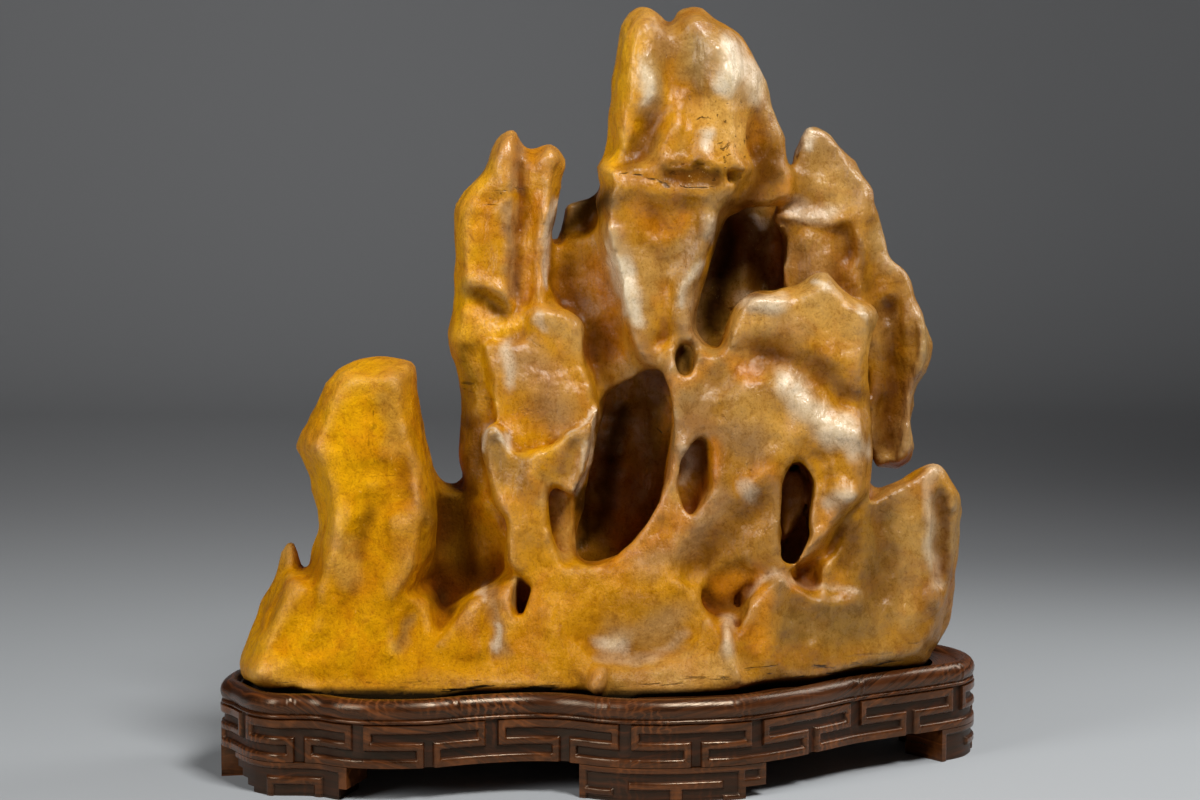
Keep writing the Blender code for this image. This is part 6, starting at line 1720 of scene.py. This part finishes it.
class StandPlan:
    """The stand's outline seen from above, as a smooth loop with its length."""

    def __init__(self, points: Sequence[Point]) -> None:
        """Draw the loop.

        Args:
            points: The points that it passes through, from the left end round the front.
        """
        loop = Curves.closed(points, steps=12)
        self.loop = np.vstack([loop, loop[:1]])
        self.run = np.concatenate([[0.0], np.cumsum(np.hypot(*np.diff(self.loop, axis=0).T))])
        self.length = float(self.run[-1])

    def at(self, runs: np.ndarray) -> np.ndarray:
        """Return the places on the outline a length run along it."""
        runs = np.asarray(runs, dtype=float) % self.length
        return np.stack([np.interp(runs, self.run, self.loop[:, a]) for a in (0, 1)], axis=-1)

    def inward(self, runs: np.ndarray, chord: float = 3.0) -> np.ndarray:
        """Return the directions that point into the stand.

        Args:
            runs: Lengths along the outline.
            chord: The length of outline that the direction is square to.

        Returns:
            A direction for each run.
        """
        along = self.at(runs + chord / 2) - self.at(runs - chord / 2)
        along /= np.linalg.norm(along, axis=-1, keepdims=True)
        return np.stack([-along[..., 1], along[..., 0]], axis=-1)

    def run_at(self, x: float) -> float:
        """Return the length along the outline where its front stands at x."""
        front = (self.loop[:, 1] < 12) & (np.arange(len(self.loop)) < 0.55 * len(self.loop))
        return float(np.interp(x, self.loop[front, 0], self.run[front]))


@dataclass(frozen=True)
class KeyPattern:
    """A carved pattern of raised cells.

    Attributes:
        columns: The width of each column and its cells from the top down, raised where there is a
            hash, cut right away where there is a space.
        levels: The edges of its rows, from the top down.
        rise: How far the raised cells stand out.
        rounding: The width over which a rib's edge is rounded.
    """

    columns: Sequence[tuple[float, str]]
    levels: Sequence[float]
    rise: float
    rounding: float = 1.5

    def edges(self, start: float) -> np.ndarray:
        """Return where the columns begin and end."""
        return start + np.concatenate([[0.0], np.cumsum([width for width, _ in self.columns])])

    def boxes(self, start: float, kind: str) -> list[tuple[float, float, float, float]]:
        """Return the rectangles of one kind of cell, as low and high run, low and high level."""
        edges = self.edges(start)
        return [(edges[i], edges[i + 1], self.levels[j + 1], self.levels[j])
                for i, (_, cells) in enumerate(self.columns)
                for j, cell in enumerate(cells) if cell == kind]

    @staticmethod
    def _gap(run: np.ndarray, level: np.ndarray, boxes: Iterable) -> np.ndarray:
        """Return the distance to the nearest of some rectangles."""
        nearest = np.full(run.shape, 99.0)
        for left, right, low, high in boxes:
            across = np.maximum(np.maximum(left - run, run - right), 0)
            up = np.maximum(np.maximum(low - level, level - high), 0)
            nearest = np.minimum(nearest, np.hypot(across, up))
        return nearest

    def relief(self, run: np.ndarray, level: np.ndarray, start: float) -> np.ndarray:
        """Return how far each place stands out, and how deep inside a rib it is.

        Args:
            run: Lengths along the outline.
            level: Levels above the table.
            start: Where the pattern starts.

        Returns:
            The relief.
        """
        outside = self._gap(run, level, self.boxes(start, "#"))
        inside = self._gap(run, level, self.boxes(start, "."))
        crown = np.clip(inside / self.rounding, 0, 1)
        rounded = self.rise * (0.45 + 0.55 * np.sqrt(1 - (1 - crown) ** 2))
        foot = self.rise * 0.45 * np.clip(1 - outside / 0.35, 0, 1)
        return np.where(outside <= 0, rounded, foot)


class Sheet:
    """Makes a sheet of quads whose corners stand where they are told to."""

    @staticmethod
    def weave(name: str, places: np.ndarray, grain: np.ndarray,
              values: dict[str, np.ndarray]) -> bpy.types.Mesh:
        """Make the sheet.

        Args:
            name: The mesh's name.
            places: Corners in millimetres, by column and row.
            grain: Grain coordinates in metres, by column and row.
            values: Named numbers, by column and row.

        Returns:
            The mesh.
        """
        columns, rows = places.shape[:2]
        bm = bmesh.new()
        bmesh.ops.create_grid(bm, x_segments=columns - 1, y_segments=rows - 1, size=0.5)
        mesh = bpy.data.meshes.new(name)
        bm.to_mesh(mesh)
        bm.free()
        flat = np.empty(len(mesh.vertices) * 3)
        mesh.vertices.foreach_get("co", flat)
        flat = flat.reshape(-1, 3)
        i = np.rint((flat[:, 0] + 0.5) * (columns - 1)).astype(int)
        j = np.rint((flat[:, 1] + 0.5) * (rows - 1)).astype(int)
        mesh.vertices.foreach_set("co", (places[i, j] * MM).ravel())
        corners = np.empty(len(mesh.loops), dtype=np.int32)
        mesh.loops.foreach_get("vertex_index", corners)
        layer = mesh.uv_layers.new(name="grain")
        layer.uv.foreach_set("vector", grain[i, j][corners].astype(np.float32).ravel())
        for key, numbers in values.items():
            store = mesh.attributes.new(key, "FLOAT", "POINT")
            store.data.foreach_set("value", numbers[i, j].astype(np.float32))
        return mesh

    @staticmethod
    def lines(edges: np.ndarray, fine: float, coarse: float) -> np.ndarray:
        """Return grid lines that crowd round each edge.

        Args:
            edges: Where the pattern changes.
            fine: Spacing beside an edge.
            coarse: Widest spacing between edges.

        Returns:
            The lines, in order.
        """
        lines = []
        for low, high in zip(edges, edges[1:]):
            ladder = [low]
            for step in (0.35, 0.5, 0.6):
                if high - ladder[-1] > 2 * (step * fine / 0.35) + 0.3:
                    ladder.append(ladder[-1] + step * fine / 0.35)
            tail = [high - (place - low) for place in ladder[1:]][::-1]
            middle = (tail[0] if tail else high) - ladder[-1]
            count = max(1, math.ceil(middle / coarse))
            between = [ladder[-1] + middle * k / count for k in range(1, count)]
            lines += ladder + between + tail
        lines.append(edges[-1])
        return np.array(lines)


@dataclass
class Slab:
    """The stand's slab: recess, bamboo-like rim, lower fillet and the fret frieze.

    Attributes:
        plan: The stand's outline.
        repeats: How many times the fret repeats.
        start_x: Where a repeat starts at the front.
        frieze_top: The frieze's upper level.
        frieze_bottom: Its lower level.
        fret_depth: How deep its ground lies.
        recess_floor: The level of the recess that the stone stands in.
        deck: The level inside the rim.
        crown: The rim's highest level.
    """

    plan: StandPlan
    repeats: int = 14
    start_x: float = -51.0
    frieze_top: float = 37.0
    frieze_bottom: float = 16.7
    fret_depth: float = 2.0
    recess_floor: float = 42.7
    deck: float = 46.8
    crown: float = 49.3
    node_x: tuple[float, ...] = (-150.0, -72.0, -1.0, 63.0, 126.0)

    def build(self, stone: StoneField) -> bpy.types.Object:
        """Carve the slab.

        Args:
            stone: The stone's field, whose foot the recess follows.

        Returns:
            The slab's object.
        """
        pattern, start = self._pattern()
        repeat = Sheet.lines(pattern.edges(start), 0.4, 1.6)[:-1]
        runs = np.concatenate([repeat + k * self.plan.length / self.repeats
                               for k in range(self.repeats)] + [[start + self.plan.length]])
        insets, levels, frieze = self._profile(pattern)
        run, level = np.meshgrid(runs, levels, indexing="ij")
        inset = np.broadcast_to(insets, run.shape).copy()
        relief = np.zeros(run.shape)
        rows = np.nonzero(frieze)[0]
        one = slice(0, len(repeat))
        carved = pattern.relief(run[one][:, rows], level[one][:, rows], start)
        carved = np.concatenate([np.tile(carved, (self.repeats, 1)), carved[:1]])
        relief[:, rows] = carved
        inset[:, rows] = self.fret_depth - carved
        inset = inset - self._nodes(run, frieze)
        chord = np.where(np.broadcast_to(insets, run.shape) > 5, 9.0, 3.0)
        places = np.empty((*run.shape, 3))
        outer = self.plan.at(run)
        places[..., :2] = outer + self._directions(run, chord) * inset[..., None]
        places[..., 2] = level
        edge = self._recess(runs, stone)
        for row, height in ((0, self.recess_floor), (1, self.recess_floor), (2, self.deck - 0.8),
                            (3, self.deck)):
            places[:, row, :2] = edge * (0.0 if row == 0 else 1.0)
            places[:, row, 2] = height
        places[:, 0, :2] = edge * 0.5
        slope = self._unrolled(places)
        grain = np.stack([run * MM, slope * MM], axis=-1)
        values = {"crown": np.where(frieze, np.clip(relief / self.fret_depth, 0, 1) ** 2, 0.25),
                  "recess": np.where(frieze, np.clip(1 - relief / self.fret_depth * 1.6, 0, 1), 0.0)}
        # The socket floor under the stone is marked for its painted near-black shadow.
        values["recess"][:, :2] = 2.0
        mesh = Sheet.weave("stand_top", places, grain, values)
        self._close(mesh)
        self.piece = bpy.data.objects.new("stand_slab", mesh)
        bpy.context.scene.collection.objects.link(self.piece)
        return self.piece

    def _pattern(self) -> tuple[KeyPattern, float]:
        """Return the fret, fitted to the outline's length, and where it starts."""
        share = self.plan.length / self.repeats / sum(width for width, _ in FRET_COLUMNS)
        columns = [(width * share, cells) for width, cells in FRET_COLUMNS]
        levels = np.linspace(self.frieze_top, self.frieze_bottom, len(columns[0][1]) + 1)
        return KeyPattern(columns, levels, self.fret_depth), self.plan.run_at(self.start_x)

    def _profile(self, pattern: KeyPattern) -> tuple[np.ndarray, np.ndarray, np.ndarray]:
        """Return the slab's section from the recess out, over the rim and down the frieze.

        Args:
            pattern: The fret.

        Returns:
            Insets, levels and which rows belong to the frieze.
        """
        rows = [(20.0, self.recess_floor)] * 4 + [(9.6, self.deck)]
        centre, low, wide = 5.0, 43.6, self.crown - 43.6
        for k in range(15):
            angle = math.radians(158 - k * 16.5)
            rows.append((centre - centre * math.cos(angle) * 1.0, low + wide * math.sin(angle)))
        rows[-1] = (1.5, 39.6)
        for angle in (70, 35, 0, -35, -70):
            rows.append((1.9 - 1.5 * math.cos(math.radians(angle)),
                         38.5 + 1.2 * math.sin(math.radians(angle))))
        rows.append((1.7, 37.15))
        first = len(rows)
        levels = Sheet.lines(np.sort(np.array(pattern.levels)), 0.35, 0.9)[::-1]
        rows += [(self.fret_depth, level) for level in levels]
        insets, heights = np.array(rows).T
        return insets, heights, np.arange(len(rows)) >= first

    def _directions(self, run: np.ndarray, chord: np.ndarray) -> np.ndarray:
        """Return inward directions, square to a longer chord where the section is deep inside."""
        return np.where((chord > 5)[..., None], self.plan.inward(run, 9.0),
                        self.plan.inward(run, 3.0))

    def _nodes(self, run: np.ndarray, frieze: np.ndarray) -> np.ndarray:
        """Return the height of the rim's paired node rings."""
        marks = [self.plan.run_at(x) for x in self.node_x]
        step = self.plan.length / self.repeats
        last = marks[-1]
        while last + step < self.plan.length + marks[0] - step * 0.6:
            last += step
            marks.append(last)
        height = np.zeros(run.shape)
        for mark in marks:
            for shift, strong in ((-1.9, 0.45), (1.9, 0.45), (-6.5, -0.12), (6.5, -0.12)):
                gap = (run - mark - shift + self.plan.length / 2) % self.plan.length
                gap = np.abs(gap - self.plan.length / 2)
                width = 1.0 if strong > 0 else 3.5
                height += strong * np.clip(1 - (gap / width) ** 2, 0, 1)
        rim = np.zeros(run.shape[1])
        rim[5:19] = 1.0
        return height * rim * ~frieze

    def _recess(self, runs: np.ndarray, stone: StoneField, clearance: float = 1.5,
                reach: float = 120.0) -> np.ndarray:
        """Return the recess's edge, which follows the stone's foot.

        Args:
            runs: Lengths along the outline.
            stone: The stone's field.
            clearance: The gap round the stone.
            reach: The half length of the spine that the edge is seen from.

        Returns:
            One place for each run.
        """
        outer = self.plan.at(runs)
        spine = np.stack([np.clip(outer[:, 0] * 0.62, -reach, reach), outer[:, 1] * 0], axis=-1)
        near, far = np.zeros(len(runs)), np.ones(len(runs))
        for _ in range(24):
            middle = (near + far) / 2
            place = spine + (outer - spine) * middle[:, None]
            inside = stone.plan.read(place[:, 0], place[:, 1]) < clearance
            near, far = np.where(inside, middle, near), np.where(inside, far, middle)
        return spine + (outer - spine) * near[:, None]

    @staticmethod
    def _unrolled(places: np.ndarray) -> np.ndarray:
        """Return the length of the section from its first row to each row."""
        steps = np.linalg.norm(np.diff(places, axis=1), axis=-1)
        return np.concatenate([np.zeros((len(places), 1)), np.cumsum(steps, axis=1)], axis=1)

    @staticmethod
    def _close(mesh: bpy.types.Mesh) -> None:
        """Weld the seam, close the recess and the underside, and turn the faces out."""
        bm = bmesh.new()
        bm.from_mesh(mesh)
        bmesh.ops.remove_doubles(bm, verts=bm.verts, dist=1e-7)
        bmesh.ops.holes_fill(bm, edges=bm.edges, sides=0)
        bmesh.ops.triangulate(bm, faces=[face for face in bm.faces if len(face.verts) > 4])
        bmesh.ops.recalc_face_normals(bm, faces=bm.faces)
        bm.to_mesh(mesh)
        bm.free()
        mesh.set_sharp_from_angle(angle=math.radians(50))

    def dress(self, wood: bpy.types.Material) -> None:
        """Give the slab its wood."""
        self.piece.data.materials.append(wood)


@dataclass
class Foot:
    """One block foot, stepped at its ends and carved outside.

    Attributes:
        plan: The stand's outline.
        node: The CAD node that it stands for.
        start: Where it starts along the outline.
        columns: Its columns of cells.
        levels: The edges of its rows.
        rise: How far its ribs stand out.
        depth: How thick the block is.
    """

    plan: StandPlan
    node: str
    start: float
    columns: Sequence[tuple[float, str]]
    levels: tuple[float, ...] = (16.4, 13.4, 9.6, 5.8, 2.6, 0.0)
    rise: float = 1.5
    depth: float = 26.0
    chord: float = 44.0

    def build(self) -> bpy.types.Object:
        """Carve the foot.

        Returns:
            The foot's object.
        """
        pattern = KeyPattern(self.columns, self.levels, self.rise, 1.2)
        runs = Sheet.lines(pattern.edges(self.start), 0.4, 1.6)
        levels = Sheet.lines(np.sort(np.array(self.levels)), 0.35, 0.9)[::-1]
        run, level = np.meshgrid(runs, levels, indexing="ij")
        relief = pattern.relief(run, level, self.start)
        places = np.empty((*run.shape, 3))
        places[..., :2] = (self.plan.at(run)
                           + self.plan.inward(run) * (self.rise - relief)[..., None])
        places[..., 2] = level
        grain = np.stack([run * MM, level * MM], axis=-1)
        values = {"crown": np.clip(relief / self.rise, 0, 1) ** 2,
                  "recess": np.clip(1 - relief / self.rise * 1.6, 0, 1) * 0.8}
        mesh = Sheet.weave(self.node, places, grain, values)
        bm = bmesh.new()
        bm.from_mesh(mesh)
        self._cut_away(bm, pattern)
        self._thicken(bm)
        bmesh.ops.recalc_face_normals(bm, faces=bm.faces)
        bm.to_mesh(mesh)
        bm.free()
        mesh.set_sharp_from_angle(angle=math.radians(50))
        self.piece = bpy.data.objects.new(f"{self.node}_block", mesh)
        bpy.context.scene.collection.objects.link(self.piece)
        return self.piece

    def _run_of(self, place: Vector) -> float:
        """Return the length along the outline nearest to a place."""
        flat = np.array(place[:2]) / MM
        samples = np.linspace(self.start - 2, self.start + sum(w for w, _ in self.columns) + 2, 600)
        gaps = np.hypot(*(self.plan.at(samples) - flat).T)
        return float(samples[np.argmin(gaps)])

    def _cut_away(self, bm: bmesh.types.BMesh, pattern: KeyPattern) -> None:
        """Delete the faces of the cells that the stepped ends leave out."""
        gone = pattern.boxes(self.start, " ")
        doomed = []
        for face in bm.faces:
            middle = face.calc_center_median()
            run, level = self._run_of(middle), middle.z / MM
            if any(left < run < right and low < level < high for left, right, low, high in gone):
                doomed.append(face)
        bmesh.ops.delete(bm, geom=doomed, context="FACES")

    def _thicken(self, bm: bmesh.types.BMesh) -> None:
        """Give the carved face its block, square to a long chord."""
        shell = bmesh.ops.extrude_face_region(bm, geom=list(bm.faces), use_keep_orig=True)
        for vert in (item for item in shell["geom"] if isinstance(item, bmesh.types.BMVert)):
            run = np.array(self._run_of(vert.co))
            deep = self.plan.at(run) + self.plan.inward(run, self.chord) * self.depth
            vert.co.x, vert.co.y = deep * MM

    def dress(self, wood: bpy.types.Material) -> None:
        """Give the foot its wood."""
        self.piece.data.materials.append(wood)


@dataclass(frozen=True)
class Lamp:
    """A soft lamp: a lit rectangle that looks at a place."""

    name: str
    place: tuple[float, float, float]
    target: tuple[float, float, float]
    size: Point
    watts: float
    colour: tuple[float, float, float] = (1.0, 1.0, 1.0)

    def hang(self) -> None:
        """Put the lamp in the scene."""
        data = bpy.data.lights.new(self.name, "AREA")
        data.shape = "RECTANGLE"
        data.size, data.size_y = self.size
        data.energy = self.watts
        data.color = self.colour
        lamp = bpy.data.objects.new(self.name, data)
        lamp.location = self.place
        direction = Vector(self.target) - Vector(self.place)
        lamp.rotation_euler = direction.to_track_quat("-Z", "Y").to_euler()
        bpy.context.scene.collection.objects.link(lamp)


LAMPS = (
    Lamp("key", (0.45, -0.75, 1.3), (0.0, 0.0, 0.2), (0.4, 0.4), 21.0),
    Lamp("left", (-0.9, -0.8, 0.7), (-0.1, 0.0, 0.2), (0.5, 0.6), 8.0),
    Lamp("rim_right", (0.9, 0.3, 0.8), (0.1, 0.0, 0.2), (0.3, 0.8), 5.0),
)


@dataclass
class Studio:
    """Pale paper, soft lamps, grey surroundings and the camera."""

    wall_distance: float = 2.4
    half_width: float = 5.0
    front: float = -6.0
    height: float = 3.2
    bend: float = 0.8

    def build(self, finish: StudioPaper) -> bpy.types.Object:
        """Roll out the paper: a floor that bends up into the wall behind.

        Args:
            finish: The paper's finish.

        Returns:
            The paper's object.
        """
        bm = bmesh.new()
        first = bm.verts.new((-self.half_width, self.front, 0.0))
        chain = [first]
        profile = [(self.wall_distance - self.bend, 0.0)]
        for k in range(1, 13):
            angle = math.pi / 2 * k / 12
            profile.append((self.wall_distance - self.bend + self.bend * math.sin(angle),
                            self.bend - self.bend * math.cos(angle)))
        profile.append((self.wall_distance, self.height))
        for y, z in profile:
            chain.append(bm.verts.new((-self.half_width, y, z)))
        edges = [bm.edges.new(pair) for pair in zip(chain, chain[1:])]
        made = bmesh.ops.extrude_edge_only(bm, edges=edges)
        moved = [item for item in made["geom"] if isinstance(item, bmesh.types.BMVert)]
        bmesh.ops.translate(bm, verts=moved, vec=(2 * self.half_width, 0.0, 0.0))
        bmesh.ops.recalc_face_normals(bm, faces=bm.faces)
        mesh = bpy.data.meshes.new("paper")
        bm.to_mesh(mesh)
        bm.free()
        mesh.shade_smooth()
        paper = bpy.data.objects.new("paper", mesh)
        bpy.context.scene.collection.objects.link(paper)
        mesh.materials.append(finish.material())
        return paper

    def light(self) -> None:
        """Hang the lamps and set the grey surroundings."""
        for lamp in LAMPS:
            lamp.hang()
        world = bpy.data.worlds.new("surroundings")
        world.use_nodes = True
        world.node_tree.nodes["Background"].inputs["Color"].default_value = (0.5, 0.5, 0.52, 1)
        world.node_tree.nodes["Background"].inputs["Strength"].default_value = 0.06
        bpy.context.scene.world = world
        bpy.context.scene.view_settings.view_transform = "Standard"

    def camera(self) -> None:
        """Stand the camera at the eye that the front view is drawn from."""
        data = bpy.data.cameras.new("camera")
        data.lens = EYE.lens
        data.sensor_width = 36.0
        camera = bpy.data.objects.new("camera", data)
        target = Vector(EYE.target) * MM
        offset = Vector((0, -math.cos(EYE.tilt), math.sin(EYE.tilt))) * EYE.distance * MM
        camera.location = target + offset
        camera.rotation_euler = (-offset).to_track_quat("-Z", "Y").to_euler()
        bpy.context.scene.collection.objects.link(camera)
        bpy.context.scene.camera = camera


def main() -> None:
    """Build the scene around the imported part."""
    logging.basicConfig(level=logging.INFO, format="%(name)s: %(message)s")
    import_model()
    plan = StandPlan(STAND_PLAN)
    stone = Stone()
    piece = stone.build(plan.loop[:-1:3])
    stone.dress(PolishedStone())
    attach(piece, "root")
    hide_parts("rock")
    LOG.info("stone: %d faces", len(piece.data.polygons))
    wood = Rosewood().material()
    slab = Slab(plan)
    piece = slab.build(stone.field)
    slab.dress(wood)
    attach(piece, "root")
    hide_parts("stand_top")
    LOG.info("slab: %d faces", len(piece.data.polygons))
    for node, (start, columns) in FEET.items():
        foot = Foot(plan, node, start, columns)
        piece = foot.build()
        foot.dress(wood)
        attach(piece, "root")
        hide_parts(node)
        LOG.info("%s: %d faces", node, len(piece.data.polygons))
    studio = Studio()
    studio.build(StudioPaper())
    studio.light()
    studio.camera()
    LOG.info("studio: paper, %d lamps and a camera", len(LAMPS))


if __name__ == "__main__":
    main()
